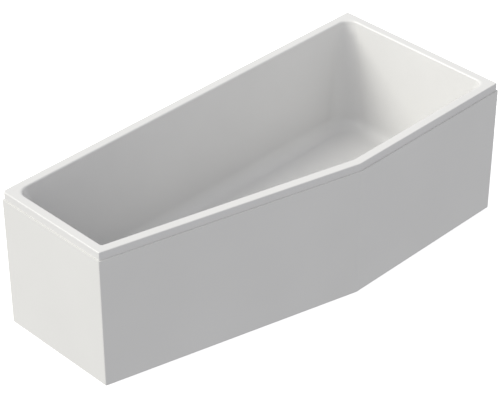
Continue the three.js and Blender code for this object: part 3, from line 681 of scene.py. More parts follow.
def evenly(points: list[Vector], step: float) -> list[Vector]:
    """Samples a line of points at even steps; the step is stretched a little to fit the line.

    Args:
        points: The line's points.
        step: Distance between samples.

    Returns:
        The samples, with both ends.
    """
    lengths = [(b - a).length for a, b in zip(points, points[1:])]
    total = sum(lengths)
    count = max(1, round(total / step))
    made, passed, i = [], 0.0, 0
    for k in range(count):
        goal = total * k / count
        while passed + lengths[i] < goal:
            passed += lengths[i]
            i += 1
        made.append(points[i].lerp(points[i + 1], (goal - passed) / lengths[i]))
    return [*made, points[-1]]


def flowing(points: list[Vector], steps: int) -> list[Vector]:
    """Draws the smooth curve that runs through points, paced by the root of their distances.

    Args:
        points: The points that it meets.
        steps: Steps between two points.

    Returns:
        The curve's points.
    """
    ends = [points[0] * 2 - points[1], *points, points[-1] * 2 - points[-2]]
    made = []
    for a, b, c, d in zip(ends, ends[1:], ends[2:], ends[3:]):
        before, here, after = (math.sqrt((q - p).length) for p, q in ((a, b), (b, c), (c, d)))
        leave = ((b - a) / before - (c - a) / (before + here) + (c - b) / here) * here
        arrive = ((c - b) / here - (d - b) / (here + after) + (d - c) / after) * here
        for i in range(steps):
            t = i / steps
            curve = b + leave * t + (c * 3 - b * 3 - leave * 2 - arrive) * t**2
            made.append(curve + (b * 2 - c * 2 + leave + arrive) * t**3)
    return [*made, points[-1]]


def soft_profile(points: Sequence[ProfilePoint], closed: bool, steps: int = 5) -> list[Vector]:
    """Rounds the corners of a profile.

    Args:
        points: Radius, height and rounding of each corner, in millimetres.
        closed: Whether the last corner joins the first.
        steps: Steps of each arc.

    Returns:
        Points of radius and height, in metres.
    """
    corners = [Vector((radius, height)) * MM for radius, height, _ in points]
    made: list[Vector] = []
    for i, at in enumerate(corners):
        is_end = not closed and i in (0, len(points) - 1)
        rounding = 0.0 if is_end else points[i][2] * MM
        made += rounded(corners[i - 1], at, corners[(i + 1) % len(corners)], rounding, steps)
    return made


def ridges(radius: float, depth: float, low: float, high: float, pitch: float) -> list[ProfilePoint]:
    """Gives a profile's ridges, as turned grooves, between two heights in millimetres.

    Args:
        radius: Radius over the ridges.
        depth: Depth of the grooves.
        low: Where the first groove is.
        high: Where the last groove is, to the nearest ridge.
        pitch: Distance between two ridges.

    Returns:
        The profile's points.
    """
    points: list[ProfilePoint] = [(radius - depth, low, 0)]
    for i in range(round((high - low) / pitch)):
        points.append((radius, low + (i + 0.5) * pitch, 0))
        points.append((radius - depth, low + (i + 1) * pitch, 0))
    return points


@dataclass(frozen=True)
class Spindle:
    """A place and a direction that a piece is made about: its own frame across, out and along the axis."""

    at: Vector
    axis: Vector = field(default_factory=lambda: Vector((0, 0, 1)))

    @property
    def out(self) -> Vector:
        """The direction in which a profile stands off the axis."""
        is_sideways = abs(self.axis.y) > max(abs(self.axis.x), abs(self.axis.z))
        return Vector((0, 0, 1)) if is_sideways else Vector((0, 1, 0))

    @property
    def across(self) -> Vector:
        """The third direction."""
        return self.out.cross(self.axis)

    @property
    def turn(self) -> Euler:
        """The turn that brings a piece made upright onto the axis."""
        return Matrix((self.across, self.out, self.axis)).transposed().to_euler()

    def point(self, across: float, out: float, along: float) -> Vector:
        """Gives a point of this frame in the bath's frame."""
        return self.at + self.across * across + self.out * out + self.axis * along


def seat(node: str) -> tuple[Spindle, float]:
    """Gives the upright spindle at the middle of a node's foot, and the node's height in millimetres."""
    low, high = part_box(node)
    return Spindle(Vector(((low.x + high.x) / 2, (low.y + high.y) / 2, low.z))), (high.z - low.z) / MM


def numbered(kind: str, count: int) -> list[str]:
    """Gives the names of the nodes of one kind, which are numbered from one."""
    return [f"{kind}_{number}" for number in range(1, count + 1)]


# Ways of making a piece


def place_last(piece: Piece, spots: list[Vector]) -> None:
    """Puts the points that were made last, in edit mode, at their places.

    Args:
        piece: The piece, in edit mode.
        spots: The places, in the points' own order.
    """
    mesh = bmesh.from_edit_mesh(piece.data)
    mesh.verts.ensure_lookup_table()
    for vertex, spot in zip(mesh.verts[-len(spots) :], spots):
        vertex.co = spot
    bmesh.update_edit_mesh(piece.data)


def drawn_line(name: str, spots: list[Vector]) -> Piece:
    """Draws a line point by point.

    Args:
        name: Name of the piece.
        spots: The line's points.

    Returns:
        The piece, a chain of edges.
    """
    piece = primitive(name, bpy.ops.mesh.primitive_plane_add, size=MM)
    with editing(piece):
        bpy.ops.mesh.merge(type="CENTER")
    # Edit mode starts afresh here, so that new points are numbered in the order they are made
    with editing(piece):
        place_last(piece, spots[:1])
        for spot in spots[1:]:
            bpy.ops.mesh.extrude_vertices_move()
            place_last(piece, [spot])
    return piece


@dataclass(frozen=True)
class Turning:
    """A profile that is turned about an axis.

    Its points are the radius, height and rounding of each corner, in millimetres. One that starts on the
    axis also ends on it, and any other closes on itself.
    """

    points: Sequence[ProfilePoint]
    sides: int = 64
    merge: float = 1e-5

    def make(self, name: str, stand: Spindle) -> Piece:
        """Draws the profile point by point and spins it round its axis.

        Args:
            name: Name of the piece.
            stand: Where the axis is.

        Returns:
            The closed piece.
        """
        closed = self.points[0][0] > 0
        profile = [stand.point(0, p.x, p.y) for p in soft_profile(self.points, closed)]
        piece = drawn_line(name, [*profile, *profile[: int(closed)]])
        with editing(piece):
            bpy.ops.mesh.spin(steps=self.sides, angle=math.tau, center=stand.at, axis=stand.axis)
        merge_and_close(piece, self.merge)
        return piece


def bar(
    radius: float, low: float, high: float, low_edge: float = 0.0, high_edge: float = 0.0, sides: int = 64
) -> Turning:
    """Gives the turning of a solid cylinder, in millimetres.

    Args:
        radius: Its radius.
        low: Where it starts along the axis.
        high: Where it ends.
        low_edge: Rounding at its start.
        high_edge: Rounding at its end.
        sides: Steps of the turn.

    Returns:
        The turning.
    """
    return Turning(((0, low, 0), (radius, low, low_edge), (radius, high, high_edge), (0, high, 0)), sides)


def block(name: str, stand: Spindle, low: Corner, high: Corner, rounding: float = 0.0) -> Piece:
    """Makes a block with rounded edges.

    Args:
        name: Name of the piece.
        stand: The frame that its corners are given in.
        low: Lowest corner across, out and along, in millimetres.
        high: Highest corner.
        rounding: Width of the rounding, in millimetres.

    Returns:
        The block.
    """
    middle = [(a + b) / 2 * MM for a, b in zip(low, high)]
    place = {"location": stand.point(*middle), "rotation": stand.turn}
    size = [(b - a) * MM for a, b in zip(low, high)]
    piece = primitive(name, bpy.ops.mesh.primitive_cube_add, size=1, scale=size, **place)
    bpy.ops.object.transform_apply(location=True, rotation=True, scale=True)
    if rounding > 0:
        with editing(piece):
            bpy.ops.mesh.bevel(offset=rounding * MM, segments=3, affect="EDGES", clamp_overlap=True)
    return piece


@dataclass(frozen=True)
class Cross:
    """Two blocks that cross on an axis, in millimetres: their reach, half width, both ends and rounding."""

    reach: float
    half: float
    low: float
    high: float
    edge: float = 0.0

    def make(self, stand: Spindle) -> list[Piece]:
        """Makes both blocks about a spindle."""
        sizes = ((self.reach, self.half), (self.half, self.reach))
        return [block("arm", stand, (-x, -y, self.low), (x, y, self.high), self.edge) for x, y in sizes]


def drawn_through(name: str, rings: list[list[Vector]], hollow: bool = False) -> Piece:
    """Starts from a circle and extrudes it from ring to ring.

    Args:
        name: Name of the piece.
        rings: Rings with the same number of points.
        hollow: Whether the last ring joins the first; otherwise both get a face.

    Returns:
        The closed skin.
    """
    start = {"vertices": len(rings[0]), "radius": 1.0, "fill_type": "NOTHING" if hollow else "NGON"}
    piece = primitive(name, bpy.ops.mesh.primitive_circle_add, **start)
    for vertex, place in zip(piece.data.vertices, rings[0]):
        vertex.co = place
    with editing(piece, "EDGE"):
        for ring in [*rings[1:], *rings[: int(hollow)]]:
            bpy.ops.mesh.extrude_edges_move()
            place_last(piece, ring)
        if not hollow:
            bpy.ops.mesh.edge_face_add()
    merge_and_close(piece)
    return piece


def rings_along(path: list[Vector], radii: list[float], sides: int) -> list[list[Vector]]:
    """Sets a circle square to a path at each of its points, without twist.

    Args:
        path: The path's points.
        radii: Radius at each point, in millimetres.
        sides: Points of each circle.

    Returns:
        The rings.
    """
    ahead = [(b - a).normalized() for a, b in zip(path, path[1:])]
    runs = [ahead[0], *((a + b).normalized() for a, b in zip(ahead, ahead[1:])), ahead[-1]]
    turns = [math.tau * k / sides for k in range(sides)]
    side = runs[0].orthogonal().normalized()
    rings = []
    for i, (spot, run) in enumerate(zip(path, runs)):
        if i:
            side = runs[i - 1].rotation_difference(run) @ side
        third = run.cross(side)
        rings.append([spot + (side * math.cos(t) + third * math.sin(t)) * radii[i] * MM for t in turns])
    return rings


def extruded(name: str, stand: Spindle, outline: list[Vector], start: float, end: float) -> Piece:
    """Extrudes an outline along its axis.

    Args:
        name: Name of the piece.
        stand: The frame of the outline.
        outline: Its points, across and out, in metres.
        start: Where it starts along the axis, in millimetres.
        end: Where it ends.

    Returns:
        The closed piece.
    """
    rings = [[stand.point(p.x, p.y, level * MM) for p in outline] for level in (start, end)]
    return drawn_through(name, rings)


# Sub-assemblies: the shell, the soft edges and the studio in metres, and all fittings in millimetres


@dataclass(frozen=True)
class CornerRadii:
    """Radii of one vertical corner: outside of the rim, top of the well and foot of the well."""

    rim: float
    top: float
    foot: float


@dataclass
class Plan:
    """The rim's outline in plan: a straight front, a slanted front, two ends and the long back."""

    narrow_end: float = 0.458
    straight_front: float = 0.691
    corners: list[Vector] = field(init=False)
    low: Vector = field(init=False)
    high: Vector = field(init=False)

    def __post_init__(self) -> None:
        """Sets the corners anticlockwise from the narrow end of the slanted front."""
        self.low, self.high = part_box("bath_shell")
        low, high = self.low, self.high
        self.corners = [
            Vector((low.x, high.y - self.narrow_end)),
            Vector((high.x - self.straight_front, low.y)),
            Vector((high.x, low.y)),
            Vector((high.x, high.y)),
            Vector((low.x, high.y)),
        ]

    @property
    def sides(self) -> list[tuple[Vector, Vector]]:
        """Both ends of each side, from the slanted front on."""
        return list(zip(self.corners, [*self.corners[1:], self.corners[0]]))

    def inset(self, insets: list[float]) -> list[Vector]:
        """Moves each side in by its own inset.

        Args:
            insets: One for each side, from the slanted front on.

        Returns:
            The corners of the smaller outline.
        """
        lines = [shifted_line(start, end, inset) for (start, end), inset in zip(self.sides, insets)]
        return [crossing(lines[i - 1], line) for i, line in enumerate(lines)]


@dataclass
class BathShell:
    """The acrylic shell: one skin from under the lip over the rim, down the walls and over the floor."""

    plan: Plan
    rim_width: float = 0.0325
    lip: float = 0.030
    skin: float = 0.005
    edge_radius: float = 0.003
    inner_radius: float = 0.006
    depth: float = 0.390
    draft: float = 0.050
    wide_draft: float = 0.054
    fillet: float = 0.050
    fall: float = 0.006
    least_radius: float = 0.008
    support: float = 0.0015
    corner_steps: int = 20
    fillet_steps: int = 22
    edge_steps: int = 6
    wall_steps: int = 10
    radii: tuple[CornerRadii, ...] = (
        CornerRadii(0.003, 0.012, 0.062),
        CornerRadii(0.018, 0.070, 0.220),
        CornerRadii(0.004, 0.034, 0.092),
        CornerRadii(0.006, 0.044, 0.100),
        CornerRadii(0.014, 0.042, 0.092),
    )
    waste_hole: float = 0.026
    waste_cut: float = 0.1
    overflow_hole: float = 0.027
    overflow_cut: float = 0.05
    down_facing: float = -0.02
    wall_facing: float = 0.2

    def height_at(self, x: float, drop: float) -> float:
        """Gives the height of the surface at a place along the bath, for a drop below the rim.

        Args:
            x: The place along the bath.
            drop: How far the section lies below the rim at the wide end.

        Returns:
            The height.
        """
        low, high = self.plan.low, self.plan.high
        share = max(0.0, (drop - self.lip) / (self.depth - self.lip))
        return high.z - drop - self.fall * (high.x - x) / (high.x - low.x) * share

    def corner_radii(self, inset: float, drop: float) -> list[float]:
        """Gives the radius of each vertical corner for one point of the section.

        Args:
            inset: Distance in from the rim's outer face.
            drop: Distance down from the rim's top.

        Returns:
            A radius for each corner of the plan.
        """
        share = min(drop / self.depth, 1.0)
        wall = self.rim_width + self.draft * share
        if drop <= self.skin or inset <= self.skin:
            return [mix(r.rim, r.top, min(inset / self.rim_width, 1.0)) for r in self.radii]
        return [max(mix(r.top, r.foot, share) + wall - inset, self.least_radius) for r in self.radii]

    def ring(self, inset: float, drop: float) -> list[Vector]:
        """Makes the closed ring that one point of the section draws round the bath.

        Args:
            inset: Distance in from the rim's outer face.
            drop: Distance down from the rim's top.

        Returns:
            The ring's points.
        """
        lean = (self.wide_draft - self.draft) * drop / self.depth
        corners = self.plan.inset([inset, inset, inset + lean, inset, inset])
        triples = zip([corners[-1], *corners], corners, [*corners[1:], corners[0]])
        flat: list[Vector] = []
        for (before, at, after), radius in zip(triples, self.corner_radii(inset, drop)):
            flat += rounded(before, at, after, radius, self.corner_steps)
        return [Vector((p.x, p.y, self.height_at(p.x, drop))) for p in flat]

    def guide(self) -> list[Vector]:
        """Gives the section's sharp corners as inset and drop; the last one only guides the fillet.

        Returns:
            The corners from the lip to the floor.
        """
        foot = self.rim_width + self.draft
        return [
            Vector((0.0, self.lip)),
            Vector((0.0, 0.0)),
            Vector((self.rim_width, 0.0)),
            Vector((foot, self.depth)),
            Vector((foot + 2 * self.fillet, self.depth)),
        ]

    def under_guide(self) -> list[Vector]:
        """Gives the same corners on the underside of the skin.

        Returns:
            The corners from the lip to the floor.
        """
        points = self.guide()
        lines = [shifted_line(a, b, self.skin) for a, b in zip(points, points[1:])]
        bends = [crossing(a, b) for a, b in zip(lines, lines[1:])]
        last = points[-1] + Vector((0.0, self.skin))
        return [Vector((self.skin, self.lip)), *bends, last]

    def section(self, points: list[Vector], edge: float, inner: float, fillet: float) -> list[Vector]:
        """Rounds the section's corners and sets supporting points beside each arc.

        Args:
            points: The sharp corners.
            edge: Radius at the rim's outer edge.
            inner: Radius at the well's top edge.
            fillet: Radius at the floor.

        Returns:
            The section's points from the lip to the floor.
        """
        lip, outer, top, foot, guide = points
        runs = [
            rounded(lip, outer, top, edge, self.edge_steps),
            rounded(outer, top, foot, inner, self.edge_steps),
            rounded(top, foot, guide, fillet, self.fillet_steps),
        ]
        made = [lip]
        for run in runs:
            last = made[-1]
            straight = run[0] - last
            if straight.length > 4 * self.support:
                step = straight.normalized() * self.support
                count = self.wall_steps if straight.length > self.fillet else 1
                between = [last + straight * i / count for i in range(1, count)]
                made += [last + step, *between, run[0] - step]
            made += run
        return [*made, made[-1] + Vector((self.support, 0.0))]

    def build(self, shop: Workshop) -> None:
        """Models the shell and dresses it.

        Args:
            shop: Where the pieces are finished.
        """
        over = self.section(self.guide(), self.edge_radius, self.inner_radius, self.fillet)
        sharp = max(self.edge_radius - self.skin, 0.0)
        inner = max(self.inner_radius - self.skin, 0.0)
        under = self.section(self.under_guide(), sharp, inner, self.fillet + self.skin)
        rings = [self.ring(p.x, p.y) for p in [*reversed(over), *under]]
        piece = drawn_through("bath_shell_moulding", rings)
        self.cut_holes(piece)
        shop.stand_for(piece, "bath_shell", shop.finishes[Slot.SHELL], BACKING.build())
        self.mark_backing(piece)

    def cut_holes(self, piece: Piece) -> None:
        """Cuts the waste's hole through the floor and the overflow's through the narrow end wall.

        Args:
            piece: The shell.
        """
        low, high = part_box("waste_plug")
        bore(piece, self.waste_hole, self.waste_cut, (low + high) / 2, Vector((0, 0, 1)))
        low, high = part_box("overflow_plate")
        lean = math.atan2(self.draft, self.depth)
        axis = Vector((math.cos(lean), 0, math.sin(lean)))
        bore(piece, self.overflow_hole, self.overflow_cut, (low + high) / 2, axis)

    def mark_backing(self, piece: Piece) -> None:
        """Gives the underside of the skin the backing's finish.

        Args:
            piece: The shell.
        """
        for face in piece.data.polygons:
            centre, normal = face.center, face.normal
            away = centre.xy.dot(normal.xy)
            is_wall = away > 0 and normal.z < self.wall_facing and not self.is_lip(centre)
            if centre.z < self.plan.high.z - self.skin / 2 and (normal.z < self.down_facing or is_wall):
                face.material_index = 1

    def is_lip(self, centre: Vector) -> bool:
        """Tells whether a point lies on the lip's outer face."""
        lines = [shifted_line(start, end, 0.0) for start, end in self.plan.sides]
        return min(along.cross(centre.xy - point) for point, along in lines) < self.skin / 2


@dataclass
class Waste:
    """The pop-up waste in the well's floor: flange with spokes, seals, body, plug and stem."""

    centre: Corner = (-600.0, 100.0, 124.35)
    inlet_height: float = -30.41
    flange: Turning = Turning(
        (
            (22.6, -26.0, 0.5), (24.6, -26.0, 0.5), (24.6, 0.0, 0.3), (35.0, 0.0, 0.3),
            (35.0, 1.2, 0.6), (26.6, 3.2, 1.5), (22.6, 2.0, 0.8),
        ),
        sides=96,
    )
    spokes: Cross = Cross(23.6, 1.5, -26.0, -13.0, 0.6)
    hub: Turning = bar(6.0, -26.0, -13.0, 0.5, 1.5)
    stem_bore: float = 3.5
    bore_depth: float = 50.0
    seal: Turning = Turning(((26.0, -9.1, 0.8), (36.0, -9.1, 0.8), (36.0, -6.1, 0.8), (26.0, -6.1, 0.8)))
    plug_seal: Turning = Turning(((3.5, 0.2, 0.3), (22.3, 0.2, 1.3), (22.3, 3.2, 0.6), (3.5, 3.2, 0.3)))
    chamber: Turning = Turning(
        (
            (0.0, -47.4, 0.0), (33.0, -47.4, 3.0), (33.0, -13.4, 1.0), (37.0, -13.4, 0.8),
            (37.0, -9.4, 0.8), (0.0, -9.4, 0.0),
        ),
        sides=96,
    )
    room: Turning = bar(30.0, -44.4, -7.0, 2.0, sides=96)
    neck: Turning = bar(20.0, -63.4, -45.0, 0.8)
    neck_bore: Turning = bar(17.0, -66.0, -40.0)
    inlet: Turning = bar(17.5, 28.0, 51.0, 0.0, 1.0)
    inlet_bead: Turning = Turning(((15.0, 33.5, 1), (18.4, 33.5, 1), (18.4, 37.0, 1), (15.0, 37.0, 1)))
    inlet_mouth: Turning = bar(14.3, 33.3, 53.0)
    inlet_way: Turning = bar(12.0, 20.0, 36.0)
    cable_socket: Turning = bar(5.0, 28.0, 45.0, 0.0, 0.6, sides=32)
    cable_mouth: Turning = bar(2.8, 33.0, 47.0, sides=32)
    dome_rim: tuple[ProfilePoint, ...] = ((0, 3.5, 0), (30.0, 3.5, 0.4), (31.0, 4.3, 0.5), (31.0, 5.5, 0.6))
    dome_radius: float = 31.0
    dome_top: float = 8.5
    dome_fall: float = 3.0
    dome_edge: float = 1.5
    dome_steps: int = 12
    stem_radius: float = 3.2
    stem_foot: float = -38.8
    stem_top: float = 3.2
    stem_edge: float = 0.3
    groove: float = 0.5
    groove_pitch: float = 1.5
    grooves_end: float = -20.0

    def build(self, shop: Workshop) -> None:
        """Models and dresses the waste's pieces.

        Args:
            shop: Where the pieces are finished.
        """
        stand = Spindle(Vector(self.centre) * MM)
        shop.stand_for(self.make_flange(stand), "waste_flange")
        shop.stand_for(self.seal.make("waste_seal_ring", stand), "waste_seal")
        shop.stand_for(self.make_body(stand), "waste_body")
        shop.stand_for(self.make_plug(stand), "waste_plug")
        shop.stand_for(self.make_stem(stand), "plug_stem")
        shop.stand_for(self.plug_seal.make("plug_seal_ring", stand), "plug_seal")

    def make_flange(self, stand: Spindle) -> Piece:
        """Turns the flange and its cup, and joins the cross that guides the stem.

        Args:
            stand: The waste's upright axis.

        Returns:
            The flange.
        """
        piece = self.flange.make("waste_flange_casting", stand)
        combine(piece, Step.JOIN, *self.spokes.make(stand), self.hub.make("hub", stand))
        bore(piece, self.stem_bore * MM, self.bore_depth * MM, stand.at, stand.axis)
        return piece

    def make_body(self, stand: Spindle) -> Piece:
        """Turns the hollow body and joins its neck, the overflow's inlet and the cable's socket.

        Args:
            stand: The waste's upright axis.

        Returns:
            The body.
        """
        piece = self.chamber.make("waste_body_moulding", stand)
        inlet = Spindle(stand.point(0, 0, self.inlet_height * MM), Vector((-1, 0, 0)))
        cable = Spindle(inlet.at, Vector((0, 1, 0)))
        joined = [self.neck.make("neck", stand)]
        joined += [turning.make("inlet", inlet) for turning in (self.inlet, self.inlet_bead)]
        combine(piece, Step.JOIN, *joined, self.cable_socket.make("cable_socket", cable))
        hollow = [turning.make("room", stand) for turning in (self.room, self.neck_bore)]
        hollow += [turning.make("way", inlet) for turning in (self.inlet_mouth, self.inlet_way)]
        return combine(piece, Step.CUT, *hollow, self.cable_mouth.make("cable_mouth", cable))

    def make_plug(self, stand: Spindle) -> Piece:
        """Turns the plug's shallow dome with its rolled edge.

        Args:
            stand: The waste's upright axis.

        Returns:
            The plug.
        """
        points = list(self.dome_rim)
        for i in range(self.dome_steps + 1):
            out = (self.dome_radius - self.dome_edge) * (1 - i / self.dome_steps)
            points.append((out, self.dome_top - self.dome_fall * (out / self.dome_radius) ** 2, 0))
        return Turning(points, sides=96).make("waste_plug_dome", stand)

    def make_stem(self, stand: Spindle) -> Piece:
        """Turns the stem with a grooved foot.

        Args:
            stand: The waste's upright axis.

        Returns:
            The stem.
        """
        low = self.stem_foot + self.groove
        grooves = ridges(self.stem_radius, self.groove, low, self.grooves_end, self.groove_pitch)
        head = [(self.stem_radius, self.stem_top, self.stem_edge), (0, self.stem_top, 0)]
        return Turning([(0, self.stem_foot, 0), *grooves, *head], sides=32).make("plug_stem_pin", stand)


@dataclass
class Trap:
    """The shallow trap under the waste: its nut, its bowl with a socket, and the outlet."""

    foot: Corner = (-600.0, 100.0, 8.14)
    outlet_height: float = 24.0
    flutes: int = 12
    flute_share: float = 0.045
    flute_from: float = 24.0
    bowl: Turning = Turning(
        ((0.0, 0.0, 0.0), (37.0, 0.0, 12.0), (37.0, 39.5, 2.0), (27.0, 45.5, 1.0), (0.0, 45.5, 0.0)), sides=96
    )
    room: Turning = Turning(
        (
            (0.0, 3.0, 0.0), (34.0, 3.0, 10.0), (34.0, 39.5, 0.0), (17.0, 40.5, 0.0),
            (17.0, 48.0, 0.0), (0.0, 48.0, 0.0),
        ),
        sides=96,
    )
    socket: Turning = bar(24.0, 27.0, 59.0, 0.0, 1.2)
    way: Turning = bar(17.6, 10.0, 40.0)
    mouth: Turning = bar(20.3, 37.3, 61.0)
    pipe: Turning = Turning(((17.6, 37.6, 0.3), (20.0, 37.6, 0.3), (20.0, 236.0, 1.2), (17.6, 236.0, 0.3)))
    nut: Turning = Turning(
        ((20.3, 45.8, 0.5), (27.0, 45.8, 1.5), (27.0, 59.8, 1.5), (20.3, 59.8, 0.5)), sides=144
    )

    def build(self, shop: Workshop) -> None:
        """Models and dresses the trap's pieces.

        Args:
            shop: Where the pieces are finished.
        """
        stand = Spindle(Vector(self.foot) * MM)
        outlet = Spindle(stand.point(0, 0, self.outlet_height * MM), Vector((0, 1, 0)))
        shop.stand_for(self.make_nut(stand), "trap_nut")
        body = self.bowl.make("trap_body_moulding", stand)
        combine(body, Step.JOIN, self.socket.make("socket", outlet))
        hollow = [turning.make("hollow", outlet) for turning in (self.way, self.mouth)]
        shop.stand_for(combine(body, Step.CUT, self.room.make("room", stand), *hollow), "trap_body")
        shop.stand_for(self.pipe.make("trap_outlet_pipe", outlet), "trap_outlet")

    def make_nut(self, stand: Spindle) -> Piece:
        """Turns the nut and presses grip flutes into its outside.

        Args:
            stand: The trap's upright axis.

        Returns:
            The nut.
        """
        piece = self.nut.make("trap_nut_moulding", stand)
        for vertex in piece.data.vertices:
            off = vertex.co - stand.at
            if off.xy.length > self.flute_from * MM:
                wave = (1 - math.cos(self.flutes * math.atan2(off.y, off.x))) / 2
                vertex.co.xy = stand.at.xy + off.xy * (1 - self.flute_share * wave)
        return piece


@dataclass
class Overflow:
    """The overflow in the narrow end wall: plate, seal, body and the knob that lifts the plug."""

    place: Corner = (-757.244, 100.0, 438.167)
    lean: float = math.radians(7.187)
    spigot_along: float = -21.6
    cable_out: float = 22.0
    plate: Turning = Turning(
        ((23.0, 0.3, 0.3), (34.0, 0.3, 0.3), (34.0, 2.0, 1.0), (31.5, 4.3, 1.6), (23.0, 4.3, 1.0)), sides=96
    )
    spokes: Cross = Cross(25.0, 2.5, 0.3, 4.2, 0.7)
    bearing: Turning = bar(9.0, -7.6, 4.3, 0.4, 0.8)
    shaft_bore: float = 4.3
    bore_depth: float = 50.0
    seal: Turning = Turning(((27.0, -7.3, 0.6), (37.0, -7.3, 0.6), (37.0, -5.3, 0.6), (27.0, -5.3, 0.6)))
    cup: Turning = Turning(
        (
            (0.0, -35.6, 0.0), (30.0, -35.6, 4.0), (30.0, -10.6, 1.2), (37.0, -10.6, 0.7),
            (37.0, -7.6, 0.7), (0.0, -7.6, 0.0),
        ),
        sides=96,
    )
    room: Turning = bar(27.5, -33.1, -5.0, 2.5, sides=96)
    spigot: Turning = Turning(
        (
            (0.0, 15.0, 0.0), (11.3, 15.0, 0.0), (11.3, 38.0, 0.3), (10.8, 41.0, 0.0),
            (11.3, 43.0, 0.0), (10.8, 46.0, 0.0), (11.3, 48.0, 0.0), (10.6, 53.0, 0.4),
            (0.0, 53.0, 0.0),
        )
    )
    way: Turning = bar(9.3, 10.0, 55.0)
    socket: Turning = bar(5.0, 15.0, 53.0, 0.0, 0.6, sides=32)
    mouth: Turning = bar(2.8, 41.0, 55.0, sides=32)
    cap: Turning = Turning(
        (
            (0.0, 18.3, 0.0), (32.0, 18.3, 1.5), (32.0, 10.3, 0.8), (35.0, 10.3, 0.8),
            (35.0, 20.6, 3.5), (18.0, 21.3, 0.0), (0.0, 21.3, 0.0),
        ),
        sides=96,
    )
    grip_low: Corner = (-29.0, -4.5, 19.6)
    grip_high: Corner = (29.0, 4.5, 30.3)
    grip_edge: float = 2.6
    shaft: Turning = bar(4.0, -12.0, 19.0, sides=48)
    drum: Turning = bar(12.0, -13.2, -8.2, 0.6, 0.6)

    @property
    def stand(self) -> Spindle:
        """The frame that the overflow is set in: its axis runs out of the wall into the well."""
        return Spindle(Vector(self.place) * MM, Vector((math.cos(self.lean), 0, math.sin(self.lean))))

    def downward(self, out: float) -> Spindle:
        """Gives the line down the wall on which a spigot stands, so many millimetres to the side."""
        stand = self.stand
        return Spindle(stand.point(0, out * MM, self.spigot_along * MM), stand.across)

    def build(self, shop: Workshop) -> None:
        """Models and dresses the overflow's pieces.

        Args:
            shop: Where the pieces are finished.
        """
        stand = self.stand
        shop.stand_for(self.seal.make("overflow_seal_ring", stand), "overflow_seal")
        shop.stand_for(self.make_body(stand), "overflow_body")
        shop.stand_for(self.make_plate(stand), "overflow_plate")
        shop.stand_for(self.make_knob(stand), "overflow_knob")

    def make_body(self, stand: Spindle) -> Piece:
        """Turns the cup behind the wall and joins the pipe's spigot and the cable's socket.

        Args:
            stand: The overflow's axis, square to the wall.

        Returns:
            The body.
        """
        spigot, cable = self.downward(0), self.downward(self.cable_out)
        piece = self.cup.make("overflow_body_moulding", stand)
        combine(piece, Step.JOIN, self.spigot.make("spigot", spigot), self.socket.make("socket", cable))
        hollow = [self.way.make("way", spigot), self.mouth.make("mouth", cable)]
        return combine(piece, Step.CUT, self.room.make("room", stand), *hollow)

    def make_plate(self, stand: Spindle) -> Piece:
        """Turns the plate's ring and joins the spokes and the knob's bearing.

        Args:
            stand: The overflow's axis, square to the wall.

        Returns:
            The plate.
        """
        piece = self.plate.make("overflow_plate_ring", stand)
        combine(piece, Step.JOIN, *self.spokes.make(stand), self.bearing.make("bearing", stand))
        bore(piece, self.shaft_bore * MM, self.bore_depth * MM, stand.at, stand.axis)
        return piece

    def make_knob(self, stand: Spindle) -> Piece:
        """Turns the knob's cap and joins its grip, shaft and drum.

        Args:
            stand: The overflow's axis, square to the wall.

        Returns:
            The knob.
        """
        piece = self.cap.make("overflow_knob_cap", stand)
        grip = block("grip", stand, self.grip_low, self.grip_high, self.grip_edge)
        return combine(piece, Step.JOIN, grip, self.shaft.make("shaft", stand), self.drum.make("drum", stand))


@dataclass
class OverflowPipe:
    """The corrugated pipe from the overflow down to the waste."""

    radius: float = 14.0
    wall_radius: float = 11.7
    groove: float = 1.3
    pitch: float = 6.0
    cuff: float = 22.0
    sample: float = 1.5
    inner_sample: float = 10.0
    bend: float = 52.0
    bend_steps: int = 64
    start_down: float = 37.3
    end_x: float = -633.6
    inlet_z: float = 93.94
    sides: int = 32

    def route(self, overflow: Overflow) -> list[Vector]:
        """Gives the pipe's middle line: down the wall, round the bend and along to the waste.

        Args:
            overflow: The overflow that it starts from.

        Returns:
            The line's points.
        """
        stand = overflow.downward(0)
        top = stand.point(0, 0, self.start_down * MM)
        inlet_z = self.inlet_z * MM
        corner = top + stand.axis * ((inlet_z - top.z) / stand.axis.z)
        start = corner - stand.axis * self.bend * MM
        end = corner + Vector((self.bend * MM, 0, 0))
        shares = [i / self.bend_steps for i in range(self.bend_steps + 1)]
        curve = [start * (1 - t) ** 2 + corner * (2 * t * (1 - t)) + end * t * t for t in shares]
        return [top, *curve, Vector((self.end_x * MM, corner.y, inlet_z))]

    def build(self, shop: Workshop, overflow: Overflow) -> None:
        """Models the pipe and dresses it.

        Args:
            shop: Where the pieces are finished.
            overflow: The overflow that it starts from.
        """
        route = self.route(overflow)
        path = evenly(route, self.sample * MM)
        run = (len(path) - 1) * self.sample
        radii = []
        for i in range(len(path)):
            inner = min(i * self.sample, run - i * self.sample) - self.cuff
            wave = (1 - math.cos(math.tau * inner / self.pitch)) / 2 if inner > 0 else 0.0
            radii.append(self.radius - self.groove * wave)
        outer = rings_along(path, radii, self.sides)
        bore_path = evenly(route, self.inner_sample * MM)
        inside = rings_along(bore_path, [self.wall_radius] * len(bore_path), self.sides)
        piece = drawn_through("overflow_pipe_hose", [*outer, *reversed(inside)], hollow=True)
        shop.stand_for(piece, "overflow_pipe")


